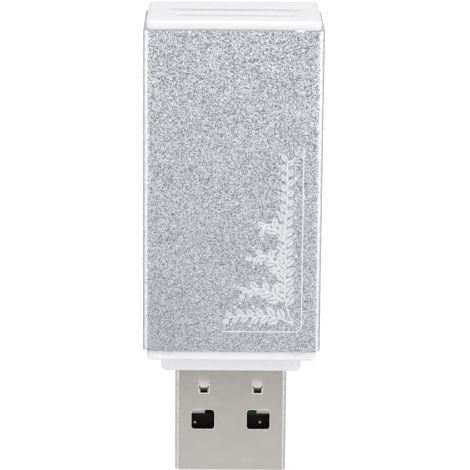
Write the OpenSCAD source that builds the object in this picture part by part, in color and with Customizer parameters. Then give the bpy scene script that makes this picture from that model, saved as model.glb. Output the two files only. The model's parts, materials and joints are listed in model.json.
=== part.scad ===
// Multi-slot memory card reader with a plug on one end.
// It lies on its back. The origin is the centre of the sleeve's underside,
// X runs across the width, Y runs towards the end slots and Z runs up through
// the printed face.

/* [Sleeve] */
// Width of the metal sleeve
sleeve_w = 18.8; // [18:0.1:21]
// Thickness of the sleeve, from its underside to the printed face
sleeve_t = 13.0; // [12.8:0.1:15]
// Length of the sleeve
sleeve_l = 34.5; // [33:0.1:40]
// Wall of the sleeve
sleeve_wall = 0.6; // [0.5:0.05:0.7]
// Outer radius of the sleeve's four long corners
sleeve_corner_r = 0.9; // [0.75:0.05:1.2]
// Corner radius of the card windows in the sleeve's sides
window_r = 0.4; // [0.2:0.05:0.6]

/* [Slot bezel] */
// How far the bezel's head stands out of the sleeve
bezel_head = 1.03; // [0.6:0.01:1.4]
// How far the bezel's head stays inside the sleeve's sides
bezel_inset_x = 0.33; // [0.1:0.01:0.4]
// How far the bezel's head stays inside the sleeve's two broad faces
bezel_inset_z = 0.2; // [0.1:0.01:0.4]
// Depth of the bezel's end wall, from its face to the sockets
bezel_wall = 2.0; // [1.8:0.05:2.4]
// How much longer than its card each card slot is, in all
slot_room = 0.4; // [0.2:0.05:0.6]
// How much higher than its card's space each end slot is, in all
slot_rise = 0.2; // [0.1:0.05:0.3]
// How much wider than its card each end slot opens, in all
slot_lead_in = 1.5; // [1:0.1:2]
// Depth of the end slots' lead-in
slot_lead_depth = 0.6; // [0.4:0.05:0.9]

/* [Plug collar] */
// Length of the flange against the sleeve
flange_l = 1.05; // [0.7:0.05:1.4]
// How far the flange stays inside the sleeve's sides
flange_inset_x = 0.42; // [0.1:0.01:0.5]
// How far the flange stays inside the sleeve's two broad faces
flange_inset_z = 0.2; // [0.1:0.01:0.4]
// Length of the collar round the plug
collar_l = 1.95; // [1.4:0.05:3]
// Plastic round the plug's shell in the collar
collar_rim = 1.5; // [1.1:0.05:1.9]
// Corner radius of the collar round the plug's axis
collar_r = 1.2; // [0.8:0.1:1.6]
// Depth of the part of the skirt that is a full wall behind the flange
collar_wall = 0.8; // [0.5:0.05:1.2]
// Distance of each round dent in the flange from the middle
dent_x = 6.9; // [6:0.1:7.6]
// Radius of the round dents in the flange
dent_r = 0.95; // [0.6:0.05:1.2]
// How far the middle of each dent lies under the sleeve
dent_under = 0.5; // [0.2:0.05:0.5]
// Depth of the round dents
dent_depth = 0.08; // [0.05:0.01:0.2]

/* [Plastic parts] */
// Wall of both skirts inside the sleeve
skirt_wall = 0.9; // [0.8:0.05:1.1]
// Distance from each skirt's end to the side frames
skirt_to_frame = 0.3; // [0.2:0.05:0.5]
// Radius on the outer edges of the white mouldings
edge_r = 0.3; // [0.15:0.05:0.4]
// Corner radius of the bezel's head and of the flange
head_r = 0.8; // [0.5:0.05:1.1]

/* [Plug] */
// Width of the plug's shell
plug_w = 12.0; // [11.9:0.05:12.2]
// Thickness of the plug's shell
plug_t = 4.5; // [4.4:0.05:4.8]
// Length of the plug outside the collar
plug_l = 11.7; // [11.5:0.05:13]
// Length of the shell inside the sleeve
shell_inside = 2.55; // [2.3:0.05:2.7]
// Sheet of the shell
shell_sheet = 0.3; // [0.25:0.05:0.35]
// Outer radius of the shell's bends
shell_r = 0.6; // [0.45:0.05:0.8]
// Distance of each latch window from the middle
latch_x = 3.0; // [2.8:0.05:3.2]
// Width of the latch windows
latch_w = 2.5; // [2.2:0.01:2.6]
// Corner radius of the latch windows
latch_r = 0.38; // [0.2:0.01:0.5]
// Length of the latch windows
latch_l = 2.23; // [1.9:0.01:2.4]
// Distance from the plug's tip to the near edge of the latch windows
latch_from_tip = 4.63; // [4.3:0.01:5]
// Width of the bent tab in each latch window
latch_tab_w = 1.45; // [1:0.05:1.6]
// Distance of each retaining tab from the middle
lance_x = 2.9; // [2.5:0.05:3.2]
// Width of the pressed-in retaining tabs
lance_w = 1.25; // [1:0.05:1.35]
// Length of the retaining tabs
lance_l = 1.4; // [1:0.05:1.6]
// Width of the opening past each retaining tab
lance_gap_w = 0.8; // [0.6:0.01:0.95]
// Length of the opening past each retaining tab
lance_gap = 0.6; // [0.4:0.01:0.7]
// Distance from the collar to the retaining tabs
lance_from_collar = 1.0; // [0.8:0.05:1.4]
// Depth of the plug's mating hollow
mating_depth = 12.0; // [11.5:0.1:12.4]
// Thickness of the insulator's tongue
tongue_t = 1.9; // [1.85:0.05:2]
// Distance from the plug's tip to the tongue's front
tongue_setback = 0.8; // [0.4:0.05:1.2]
// Width of a plug contact
contact_w = 1.0; // [0.9:0.05:1.1]
// Thickness of a plug contact
contact_t = 0.2; // [0.15:0.01:0.25]
// Distance of the power and ground contacts from the middle
outer_contact_x = 3.5; // [3.4:0.05:3.6]
// Distance of the two data contacts from the middle
inner_contact_x = 1.0; // [0.9:0.05:1.1]
// How much further back the data contacts start
data_setback = 1.0; // [0.8:0.05:1.2]

/* [Board] */
// Thickness of the circuit board
board_t = 1.0; // [0.9:0.05:1.05]
// Plastic between the tongue's contact face and the board
board_seat = 0.6; // [0.5:0.05:0.65]
// Width of the board's tab inside the plug
board_tab_w = 10.0; // [9:0.1:10.4]
// Distance from the sleeve's inner side to the board's edge
board_side_gap = 0.5; // [0.4:0.05:0.6]

/* [End sockets] */
// Width of the card that the upper end slot takes
upper_card_w = 11.0; // [10.8:0.1:11.2]
// Height of the space for that card
upper_gap = 0.95; // [0.8:0.05:1]
// Plastic under the upper card
upper_floor = 0.75; // [0.6:0.05:0.8]
// Number of contacts in the upper socket
upper_contacts = 8; // [6:1:8]
// Spacing of the contacts in the upper socket
upper_pitch = 1.1; // [1:0.05:1.2]
// Width of the card that the lower end slot takes
lower_card_w = 12.5; // [12.3:0.1:12.6]
// Height of the space for that card
lower_gap = 1.35; // [1.2:0.05:1.4]
// Plastic under the lower card
lower_floor = 0.65; // [0.6:0.05:0.7]
// Number of contacts in the lower socket
lower_contacts = 11; // [8:1:11]
// Spacing of the contacts in the lower socket
lower_pitch = 1.0; // [0.9:0.05:1.05]
// Depth of both end sockets behind the bezel
socket_l = 11.7; // [11:0.1:12]
// Length of the springs inside both end sockets
spring_l = 5.3; // [4.6:0.1:5.6]
// Width of the springs inside both end sockets
spring_w = 0.4; // [0.3:0.05:0.45]
// Side wall of both end sockets
socket_wall = 0.5; // [0.4:0.05:0.55]
// Sheet of the sockets' metal covers
cover_sheet = 0.15; // [0.1:0.01:0.2]

/* [Side frames] */
// Width of the card that the right side takes
wide_card_w = 24.2; // [24:0.1:24.4]
// Number of contacts for that card
wide_contacts = 9; // [7:1:9]
// Spacing of those contacts
wide_pitch = 2.5; // [2.3:0.05:2.55]
// Width of the card that the left side takes
thick_card_w = 21.7; // [21.5:0.1:22.2]
// Height of the space for that card
thick_gap = 3.0; // [2.9:0.05:3.2]
// Number of contacts for that card
thick_contacts = 10; // [8:1:10]
// Spacing of those contacts
thick_pitch = 1.8; // [1.6:0.05:1.95]
// Rear wall of both side frames
frame_wall = 1.0; // [0.9:0.05:1.05]
// Rails of both side frames
frame_rail = 0.75; // [0.6:0.05:0.8]
// Thickness of the plate under the thick card
frame_plate = 0.5; // [0.4:0.05:0.6]
// Reach of the springs over or under the card in both side frames
spring_reach = 3.3; // [2.6:0.1:3.6]
// Width of those springs
side_spring_w = 1.0; // [0.8:0.05:1.1]
// Sheet of those springs
side_sheet = 0.15; // [0.12:0.01:0.18]
// Where the side frames sit along the sleeve
side_slot_y = 0; // [-0.1:0.05:0.1]

/* [Small parts] */
// Side of the controller's square package
chip_side = 7.0; // [6:0.5:7]
// Thickness of the controller's package
chip_t = 1.4; // [1:0.1:1.5]
// Number of leads on each side of the controller
chip_leads = 12; // [8:1:12]
// Spacing of the controller's leads
chip_pitch = 0.5; // [0.4:0.05:0.5]
// Length of the crystal's can
crystal_l = 5.0; // [4:0.1:5.5]
// Width of the crystal's can
crystal_w = 3.2; // [2.5:0.1:3.4]
// Thickness of the crystal's can
crystal_t = 1.2; // [0.9:0.1:1.4]
// Length of the small passive parts
passive_l = 1.6; // [1.4:0.1:2]
// Width of the small passive parts
passive_w = 0.8; // [0.6:0.05:1]
// Height of a capacitor
capacitor_t = 0.8; // [0.6:0.05:1]
// Height of a resistor
resistor_t = 0.45; // [0.35:0.05:0.6]

/* [Clearances] */
// Clearance of a skirt inside the sleeve
skirt_gap = 0.05; // [0.03:0.01:0.1]
// Clearance of the shell in the collar and of the insulator in the shell
shell_gap = 0.05; // [0.03:0.01:0.06]
// Clearance of the board in its grooves and in the insulator
board_gap = 0.05; // [0.03:0.01:0.06]
// Clearance of a contact in its groove
contact_gap = 0.05; // [0.03:0.01:0.08]
// Clearance on each side of a card in its end socket
card_play = 0.05; // [0.03:0.01:0.1]
// Clearance between stacked sockets and frames
stack_gap = 0.05; // [0.03:0.01:0.08]

/* [Hidden] */
$fn = 48;
cut = 1;

// Small steps, bends and rooms that stay the same
slack = 0.1;
notch_room = 0.2;
board_show = 0.82;
rear_step = 0.2;
slot_r = 0.15;
seam_w = 0.08;
seam_step = 0.5;
solder_tab_l = 1.5;
window_lip = 0.1;
ledge_t = 0.15;
ledge_w = 0.6;
frame_side_gap = 0.6;
socket_rear_wall = 0.6;
socket_sheet = 0.12;
cover_foot_l = 1.5;
cover_foot_gap = 0.3;
cover_window_w = 3.2;
contact_setback = 0.5;
contact_foot_l = 1.6;
cap_l = 0.3;

// The small parts on the board
chip_y = -6;
chip_corner = 0.6;
lead_reach = 1.0;
lead_w = 0.2;
lead_t = 0.12;
stand_off = 0.1;
crystal_base_t = 0.4;
crystal_rim = 0.2;
crystal_r = 0.6;

// Widths and thicknesses that follow from others
bezel_w = sleeve_w - 2 * bezel_inset_x;
bezel_t = sleeve_t - 2 * bezel_inset_z;
flange_w = sleeve_w - 2 * flange_inset_x;
flange_t = sleeve_t - 2 * flange_inset_z;
collar_w = plug_w + 2 * collar_rim;
collar_t = plug_t + 2 * collar_rim;
frame_half_l = wide_card_w / 2 + frame_rail;
upper_half_w = upper_card_w / 2 + card_play + socket_wall;
lower_half_w = lower_card_w / 2 + card_play + socket_wall;
spring_slit = side_spring_w / 2 + contact_gap;

// Along the length
slot_rim_y = sleeve_l / 2;
plug_rim_y = -sleeve_l / 2;
bezel_face_y = slot_rim_y + bezel_head;
bezel_inner_y = bezel_face_y - bezel_wall;
flange_face_y = plug_rim_y - flange_l;
collar_face_y = flange_face_y - collar_l;
tip_y = collar_face_y - plug_l;
shell_rear_y = plug_rim_y + shell_inside;
insulator_rear_y = shell_rear_y - rear_step;
mating_end_y = tip_y + mating_depth;
tongue_front_y = tip_y + tongue_setback;
latch_y0 = tip_y + latch_from_tip;
latch_y1 = latch_y0 + latch_l;
lance_y1 = collar_face_y - lance_from_collar;
lance_y0 = lance_y1 - lance_l - lance_gap;
shoulder_y = shell_rear_y + slack;
board_tip_y = latch_y1 - board_show;
socket_mouth_y = bezel_inner_y - stack_gap;
socket_rear_y = socket_mouth_y - socket_l;
board_end_y = socket_mouth_y - rear_step;
bezel_skirt_y = side_slot_y + frame_half_l + skirt_to_frame;
collar_skirt_y = side_slot_y - frame_half_l - skirt_to_frame;

// Across the thickness
mid_z = sleeve_t / 2;
inner_z0 = sleeve_wall;
inner_z1 = sleeve_t - sleeve_wall;
shell_in_z0 = mid_z - plug_t / 2 + shell_sheet;
shell_in_z1 = mid_z + plug_t / 2 - shell_sheet;
tongue_z1 = shell_in_z1 - shell_gap;
tongue_z0 = tongue_z1 - tongue_t;
board_z0 = tongue_z0 + board_seat;
board_z1 = board_z0 + board_t;
upper_h = upper_floor + upper_gap + cover_sheet;
lower_h = lower_floor + lower_gap + cover_sheet;
upper_top_z = board_z1 + upper_h;
lower_bottom_z = board_z0 - lower_h;
upper_slot_z = board_z1 + upper_floor + upper_gap / 2;
lower_slot_z = board_z0 - lower_floor - lower_gap / 2;
wide_z0 = upper_top_z + stack_gap + ledge_t;
wide_z1 = inner_z1 - stack_gap;
thick_z0 = inner_z0 + stack_gap + frame_plate;
thick_z1 = thick_z0 + thick_gap;
thick_top_z = lower_bottom_z - stack_gap;

// Across the width
inner_x = sleeve_w / 2 - sleeve_wall;
board_x = inner_x - board_side_gap;
frame_x = inner_x - frame_side_gap;
stop_x = frame_x - frame_wall;
shell_in_x = plug_w / 2 - shell_sheet;
insulator_x = shell_in_x - shell_gap;
skirt_x = inner_x - skirt_gap;
skirt_z = sleeve_t / 2 - sleeve_wall - skirt_gap;
inner_corner_r = sleeve_corner_r - sleeve_wall;

// The tabs pressed out of the shell's sheet. The retaining tabs stay clear of
// the board and are pressed in by less than the sheet, so that they stay part of it.
shell_top_z = mid_z + plug_t / 2;
lance_depth = min(shell_in_z1 - board_z1 - 2 * board_gap, shell_sheet - 0.05);
lance_lip = lance_gap - 2 * shell_gap;
lance_end_y = lance_y1 - lance_l;
shell_side_x = (plug_w - shell_sheet) / 2;

// A block between two corners, each axis given as a pair.
module block(x, y, z) {
    translate([x[0], y[0], z[0]])
        cube([x[1] - x[0], y[1] - y[0], z[1] - z[0]]);
}

// A rectangle about the origin with round corners.
module round_rect(w, h, r) {
    square([w - 2 * r, h], center = true);
    square([w, h - 2 * r], center = true);
    for (sx = [-1, 1], sy = [-1, 1])
        translate([sx * (w / 2 - r), sy * (h / 2 - r)])
            circle(r);
}

// Extrudes a shape drawn in X and Z along Y.
module along_y(y0, y1) {
    translate([0, y1, 0])
        rotate([90, 0, 0])
            linear_extrude(y1 - y0)
                children();
}

// Extrudes a shape drawn in Y and Z along X.
module along_x(x0, x1) {
    translate([x0, 0, 0])
        rotate([90, 0, 90])
            linear_extrude(x1 - x0)
                children();
}

// Extrudes a shape drawn in X and Y along Z.
module along_z(z0, z1) {
    translate([0, 0, z0])
        linear_extrude(z1 - z0)
            children();
}

// A moulded slab across the axis, with a round outline and soft face edges.
// The face at y_face is the one with soft edges, the other is square.
module soft_slab(w, t, r, y_face, y_back) {
    y0 = min(y_face, y_back);
    y1 = max(y_face, y_back);
    back = y_face < y_back ? cut : -cut;
    mid_y = (y_face + y_back + back) / 2;
    span = y1 - y0 + cut;
    intersection() {
        along_y(y0, y1)
            translate([0, mid_z])
                round_rect(w, t, r);
        along_z(0, sleeve_t)
            translate([0, mid_y])
                round_rect(w, span, edge_r);
        along_x(-w, w)
            translate([mid_y, mid_z])
                round_rect(span, t, edge_r);
    }
}

// The ring that slides into the sleeve's end.
module skirt(y0, y1, full0, full1) {
    difference() {
        along_y(y0, y1)
            translate([0, mid_z])
                round_rect(2 * skirt_x, 2 * skirt_z, inner_corner_r);
        difference() {
            along_y(y0 - cut, y1 + cut)
                translate([0, mid_z])
                    round_rect(2 * (skirt_x - skirt_wall), 2 * (skirt_z - skirt_wall), inner_corner_r);
            block([-inner_x, inner_x], [full0, full1], [0, sleeve_t]);
        }
    }
}

// The groove that holds both edges of the board.
module board_groove(y0, y1) {
    block([-board_x - board_gap, board_x + board_gap], [y0, y1],
        [board_z0 - board_gap, board_z1 + board_gap]);
}

// One end slot with its lead-in, seen from the bezel's face.
module end_slot(card_w, gap, z) {
    along_y(bezel_inner_y - cut, bezel_face_y + cut)
        translate([0, z])
            round_rect(card_w + slot_room, gap, slot_r);
    along_z(z - gap / 2, z + gap / 2)
        polygon([
            [-card_w / 2, bezel_face_y - slot_lead_depth],
            [-(card_w + slot_lead_in) / 2, bezel_face_y],
            [-(card_w + slot_lead_in) / 2, bezel_face_y + cut],
            [(card_w + slot_lead_in) / 2, bezel_face_y + cut],
            [(card_w + slot_lead_in) / 2, bezel_face_y],
            [card_w / 2, bezel_face_y - slot_lead_depth]
        ]);
}

// A window in one side of the sleeve for a card of width w.
module side_window(side, w, z0, z1) {
    x = side * (sleeve_w / 2 - sleeve_wall / 2);
    along_x(x - sleeve_wall, x + sleeve_wall)
        translate([side_slot_y, (z0 + z1) / 2])
            round_rect(w + slot_room, z1 - z0, window_r);
}

module sleeve() {
    color("lightsteelblue")
    difference() {
        along_y(plug_rim_y, slot_rim_y)
            translate([0, mid_z])
                difference() {
                    round_rect(sleeve_w, sleeve_t, sleeve_corner_r);
                    round_rect(2 * inner_x, inner_z1 - inner_z0, inner_corner_r);
                }
        side_window(1, wide_card_w, wide_z0 - window_lip, wide_z1 - window_lip);
        side_window(-1, thick_card_w, thick_z0 - window_lip, thick_z1 + window_lip);
    }
}

module slot_bezel() {
    color("white")
    difference() {
        union() {
            soft_slab(bezel_w, bezel_t, head_r, bezel_face_y, slot_rim_y);
            skirt(bezel_skirt_y, slot_rim_y, bezel_inner_y, slot_rim_y);
        }
        end_slot(upper_card_w, upper_gap + slot_rise, upper_slot_z);
        end_slot(lower_card_w, lower_gap + slot_rise, lower_slot_z);
        board_groove(bezel_skirt_y - cut, bezel_inner_y);
    }
}

module plug_collar() {
    color("white")
    difference() {
        union() {
            soft_slab(flange_w, flange_t, head_r, flange_face_y, plug_rim_y);
            soft_slab(collar_w, collar_t, collar_r, collar_face_y, flange_face_y);
            skirt(plug_rim_y, collar_skirt_y, plug_rim_y, plug_rim_y + collar_wall);
        }
        along_y(collar_face_y - cut, plug_rim_y + collar_wall + cut)
            translate([0, mid_z])
                round_rect(plug_w + 2 * shell_gap, plug_t + 2 * shell_gap, shell_r);
        board_groove(shoulder_y - board_gap, collar_skirt_y + cut);
        intersection() {
            for (side = [-1, 1])
                translate([side * dent_x, plug_rim_y + dent_under, mid_z + flange_t / 2 - dent_depth])
                    cylinder(h = cut, r = dent_r);
            block([-flange_w, flange_w], [flange_face_y, plug_rim_y], [0, 2 * sleeve_t]);
        }
    }
}

// One straight run of the seam where the shell's sheet meets.
module seam_line(from, to) {
    d = to - from;
    translate(from)
        rotate(atan2(d[1], d[0]))
            translate([-seam_w / 2, -seam_w / 2])
                square([norm(d) + seam_w, seam_w]);
}

// The seam's path, with one dovetail between the latch windows and the collar.
module seam() {
    y = (latch_y1 + lance_y0) / 2;
    neck = seam_step + slack;
    head = neck + notch_room;
    path = [[0, tip_y - cut], [0, y - neck], [-seam_step, y - head], [-seam_step, y + head],
        [0, y + neck], [0, shell_rear_y + cut]];
    for (i = [0 : len(path) - 2])
        seam_line(path[i], path[i + 1]);
}

// The wedge of room over a retaining tab.
module lance_wedge(x) {
    top = shell_top_z;
    along_x(x - lance_w / 2, x + lance_w / 2)
        polygon([
            [lance_y1, top + cut], [lance_y1, top],
            [lance_end_y, top - lance_depth], [lance_end_y, top + cut]
        ]);
}

// One retaining tab, a strip of the sheet pressed down into the plug, with a
// narrower lip that slopes down into the opening past it.
module lance_tab(x) {
    top = shell_top_z;
    half_w = lance_gap_w / 2 - shell_gap;
    lip_top = top - lance_depth - shell_gap;
    lip_low = top - shell_sheet - lance_depth + shell_gap;
    along_x(x - lance_w / 2, x + lance_w / 2)
        polygon([
            [lance_y1, top], [lance_y1, top - shell_sheet],
            [lance_end_y, top - shell_sheet - lance_depth], [lance_end_y, top - lance_depth]
        ]);
    along_x(x - half_w, x + half_w)
        polygon([
            [lance_end_y + shell_gap, lip_top], [lance_end_y + shell_gap, lip_low],
            [lance_end_y - lance_lip, lip_low], [lance_end_y - lance_lip, lip_low + slack]
        ]);
}

// One bent tab that reaches into a latch window from its collar side. Its
// section is given as steps back from the window's edge and down from the top.
module latch_tab(side) {
    x = side * (latch_x + (latch_w - latch_tab_w) / 2);
    section = [[0, 0], [0, shell_sheet], [0.14, 0.32], [0.3, 0.42], [0.4, 0.58],
        [0.68, 0.5], [0.58, 0.28], [0.42, 0.12], [0.2, 0.03]];
    along_x(x - latch_tab_w / 2, x + latch_tab_w / 2)
        polygon([for (p = section) [latch_y1 - p[0], shell_top_z - p[1]]]);
}

module plug_shell() {
    color("silver") {
        difference() {
            along_y(tip_y, shell_rear_y)
                translate([0, mid_z])
                    difference() {
                        round_rect(plug_w, plug_t, shell_r);
                        round_rect(2 * shell_in_x, plug_t - 2 * shell_sheet, shell_r - shell_sheet);
                    }
            for (side = [-1, 1]) {
                along_z(mid_z - plug_t, mid_z + plug_t)
                    translate([side * latch_x, (latch_y0 + latch_y1) / 2])
                        round_rect(latch_w, latch_l, latch_r);
                lance_wedge(side * lance_x);
                block([side * lance_x - lance_gap_w / 2, side * lance_x + lance_gap_w / 2],
                    [lance_y0, lance_end_y], [mid_z, mid_z + plug_t]);
            }
            along_z(0, mid_z)
                seam();
        }
        for (side = [-1, 1]) {
            lance_tab(side * lance_x);
            latch_tab(side);
            block([side * shell_side_x - shell_sheet / 2, side * shell_side_x + shell_sheet / 2],
                [shell_rear_y - slack, shell_rear_y + solder_tab_l],
                [board_z0 - 2 * notch_room, board_z1 + shell_sheet]);
        }
    }
}

module plug_insulator() {
    color("#241a16")
    difference() {
        union() {
            block([-insulator_x, insulator_x], [tongue_front_y, insulator_rear_y], [tongue_z0, tongue_z1]);
            block([-insulator_x, insulator_x], [mating_end_y, insulator_rear_y],
                [shell_in_z0 + shell_gap, tongue_z1]);
        }
        // Pocket for the board's tab
        block([-board_tab_w / 2 - board_gap, board_tab_w / 2 + board_gap],
            [board_tip_y - board_gap, insulator_rear_y + cut],
            [board_z0 - board_gap, board_z1 + board_gap]);
        // Room behind the latch windows and the bent tabs
        for (side = [-1, 1]) {
            block([side * latch_x - latch_w / 2 - notch_room, side * latch_x + latch_w / 2 + notch_room],
                [latch_y0 - notch_room, latch_y1 + slack], [board_z0 + notch_room, tongue_z1 + cut]);
            block([side * lance_x - lance_w / 2 - slack, side * lance_x + lance_w / 2 + slack],
                [lance_y0, lance_y1 + shell_gap], [board_z1 - notch_room, tongue_z1 + cut]);
        }
        // Grooves for the contacts
        for (x = [-outer_contact_x, -inner_contact_x, inner_contact_x, outer_contact_x])
            block([x - contact_w / 2 - contact_gap, x + contact_w / 2 + contact_gap],
                [tongue_front_y + contact_setback + (abs(x) == inner_contact_x ? data_setback : 0),
                    insulator_rear_y + cut],
                [tongue_z0 - contact_t, tongue_z0 + contact_t]);
        // Chamfers that clear the inside of the shell's bends
        for (side = [-1, 1], z = [shell_in_z0 + shell_gap, tongue_z1])
            translate([side * insulator_x, (tip_y + shell_rear_y) / 2, z])
                rotate([0, 45, 0])
                    cube([shell_r - slack, 2 * (shell_rear_y - tip_y), shell_r - slack], center = true);
    }
}

// One plug contact, from its front end to its tail under the board.
module plug_contact(x, setback) {
    front = tongue_front_y + contact_setback + contact_gap + setback;
    low = tongue_z0 - contact_t / 2;
    step = insulator_rear_y + contact_gap;
    color("goldenrod")
    along_x(x - contact_w / 2, x + contact_w / 2)
        polygon([
            [front, low + contact_t], [front, low + contact_t / 2], [front + contact_t, low],
            [step + contact_t, low], [step + contact_t, board_z0 - contact_t],
            [step + contact_foot_l, board_z0 - contact_t], [step + contact_foot_l, board_z0],
            [step, board_z0], [step, low + contact_t]
        ]);
}

module power_contact() {
    plug_contact(-outer_contact_x, 0);
}

module data_minus_contact() {
    plug_contact(-inner_contact_x, data_setback);
}

module data_plus_contact() {
    plug_contact(inner_contact_x, data_setback);
}

module ground_contact() {
    plug_contact(outer_contact_x, 0);
}

module circuit_board() {
    color("darkgreen")
    difference() {
        union() {
            block([-board_x, board_x], [shoulder_y, board_end_y], [board_z0, board_z1]);
            block([-board_tab_w / 2, board_tab_w / 2], [board_tip_y, shoulder_y + cut],
                [board_z0, board_z1]);
        }
        // Notches for the shell's solder tabs
        for (side = [-1, 1])
            block([side * shell_side_x - shell_sheet / 2 - slack,
                    side * shell_side_x + shell_sheet / 2 + slack],
                [shoulder_y - cut, shell_rear_y + solder_tab_l + slack], [0, sleeve_t]);
        // Notch under the left latch window
        block([-board_tab_w / 2 - cut, -latch_x + latch_w / 2 + notch_room],
            [board_tip_y - cut, latch_y1 + notch_room], [0, sleeve_t]);
    }
}

// The base of an end socket, standing up from the board's face at z = 0.
module socket_base(card_w, floor_t, gap, count, pitch) {
    half = card_w / 2 + card_play;
    outer = half + socket_wall;
    slot = spring_w / 2 + 2 * contact_gap;
    wall_y = socket_rear_y + socket_rear_wall;
    slot_y = wall_y + spring_l + slack;
    difference() {
        block([-outer, outer], [socket_rear_y, socket_mouth_y], [0, floor_t + gap]);
        block([-half, half], [wall_y, socket_mouth_y + cut], [floor_t, floor_t + gap + cut]);
        // A slot for each contact, low under the rear wall and then open through the floor
        for (i = [0 : count - 1])
            translate([(i - (count - 1) / 2) * pitch, 0, 0]) {
                block([-slot, slot], [socket_rear_y - cut, slot_y], [-cut, floor_t / 2]);
                block([-slot, slot], [wall_y, slot_y], [-cut, floor_t + cut]);
            }
    }
}

// The folded metal cover of an end socket.
module socket_cover(card_w, floor_t, gap) {
    outer = card_w / 2 + card_play + socket_wall;
    top = floor_t + gap;
    difference() {
        union() {
            block([-outer - cover_sheet, outer + cover_sheet], [socket_rear_y, socket_mouth_y],
                [top, top + cover_sheet]);
            for (side = [-1, 1])
                block([side * (outer + cover_sheet / 2) - cover_sheet / 2,
                        side * (outer + cover_sheet / 2) + cover_sheet / 2],
                    [socket_rear_y, socket_mouth_y], [0, top + cover_sheet]);
        }
        // Cut-outs between the cover's feet
        block([-outer - cut, outer + cut],
            [socket_rear_y + cover_foot_l, socket_mouth_y - cover_foot_l], [-cut, cover_foot_gap]);
        // Windows over the contacts and at the mouth
        for (side = [-1, 1])
            block([side * card_w / 4 - cover_window_w / 2, side * card_w / 4 + cover_window_w / 2],
                [socket_rear_y + cover_window_w / 2, socket_rear_y + spring_l - socket_rear_wall],
                [top - cut, top + cut]);
        along_z(top - cut, top + cut)
            translate([0, socket_mouth_y])
                circle(r = card_w / 5);
    }
}

// The springs of an end socket, standing up from the board's face at z = 0.
// Each starts as a foot behind the socket and ends in a bow over its floor.
module socket_contacts(floor_t, count, pitch) {
    sheet = socket_sheet;
    rear = socket_rear_y;
    foot_y = rear - 0.7;
    bend_y = rear + 1.6;
    tip = rear + spring_l;
    bow_y = tip - 0.9;
    for (i = [0 : count - 1])
        translate([(i - (count - 1) / 2) * pitch, 0, 0])
            along_x(-spring_w / 2, spring_w / 2)
                polygon([
                    [foot_y, 0], [bend_y, 0], [bow_y, floor_t + 2 * sheet],
                    [tip - slack, floor_t - slack], [tip, floor_t], [bow_y, floor_t + 3 * sheet],
                    [bend_y - slack, sheet], [foot_y, sheet]
                ]);
}

module upper_socket_base() {
    color("#1c1c1e")
    translate([0, 0, board_z1])
        socket_base(upper_card_w, upper_floor, upper_gap, upper_contacts, upper_pitch);
}

module upper_socket_cover() {
    color("gainsboro")
    translate([0, 0, board_z1])
        socket_cover(upper_card_w, upper_floor, upper_gap);
}

module upper_socket_contacts() {
    color("gold")
    translate([0, 0, board_z1])
        socket_contacts(upper_floor, upper_contacts, upper_pitch);
}

module lower_socket_base() {
    color("#1c1c1e")
    translate([0, 0, board_z0])
        mirror([0, 0, 1])
            socket_base(lower_card_w, lower_floor, lower_gap, lower_contacts, lower_pitch);
}

module lower_socket_cover() {
    color("gainsboro")
    translate([0, 0, board_z0])
        mirror([0, 0, 1])
            socket_cover(lower_card_w, lower_floor, lower_gap);
}

module lower_socket_contacts() {
    color("gold")
    translate([0, 0, board_z0])
        mirror([0, 0, 1])
            socket_contacts(lower_floor, lower_contacts, lower_pitch);
}

// Room in a side frame for an end socket that is half_w wide on each side of the middle.
module socket_relief(half_w, z0, z1) {
    room = cover_sheet + stack_gap;
    block([-half_w - room, half_w + room], [socket_rear_y - room, socket_mouth_y], [z0, z1]);
}

// Where each spring of a side frame sits along the sleeve.
function side_contact_y(i, count, pitch) = side_slot_y + (i - (count - 1) / 2) * pitch;

// The frame of the right side's card stands on the board and opens to the right.
module wide_card_frame() {
    half = wide_card_w / 2;
    outer = frame_half_l;
    slit = [-spring_slit, spring_slit];
    slit_z = wide_z0 + side_sheet;
    color("#1c1c1e")
    difference() {
        translate([0, side_slot_y, 0])
            union() {
                // Two rails, each with a ledge under the card's edge
                for (side = [-1, 1]) {
                    block([-frame_x, frame_x], side > 0 ? [half, outer] : [-outer, -half],
                        [wide_z0 - ledge_t, wide_z1]);
                    block([-frame_x, frame_x],
                        side > 0 ? [half - ledge_w, outer] : [-outer, ledge_w - half],
                        [wide_z0 - ledge_t, wide_z0]);
                    block([stop_x, frame_x], side > 0 ? [half, outer] : [-outer, -half],
                        [board_z1, wide_z1]);
                }
                block([-frame_x, -stop_x], [-outer, outer], [board_z1, wide_z1]);
            }
        // A slit and a groove for each spring
        for (i = [0 : wide_contacts - 1])
            translate([0, side_contact_y(i, wide_contacts, wide_pitch), 0]) {
                block([-frame_x - cut, -stop_x + cut], slit, [wide_z0 - 2 * contact_gap, slit_z]);
                block([-frame_x - cut, contact_gap + side_sheet - frame_x], slit, [board_z1 - cut, slit_z]);
            }
        socket_relief(upper_half_w, board_z1 - cut, upper_top_z + stack_gap);
    }
}

// The springs under the right side's card, with a leg down to the board.
module wide_card_contacts() {
    z = wide_z0 - contact_gap;
    tip = spring_reach - stop_x;
    leg_x = side_sheet - frame_x;
    color("gold")
    for (i = [0 : wide_contacts - 1])
        translate([0, side_contact_y(i, wide_contacts, wide_pitch), 0])
            rotate([90, 0, 0])
                translate([0, 0, -side_spring_w / 2])
                    linear_extrude(side_spring_w)
                        polygon([
                            [-frame_x, board_z1], [leg_x, board_z1], [leg_x, z],
                            [0.3 - stop_x, z], [tip - 0.7, z + 0.35], [tip - 0.1, z + 0.1],
                            [tip, z + 0.22], [tip - 0.7, z + 0.52], [0.2 - stop_x, z + side_sheet],
                            [-frame_x, z + side_sheet]
                        ]);
}

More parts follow.
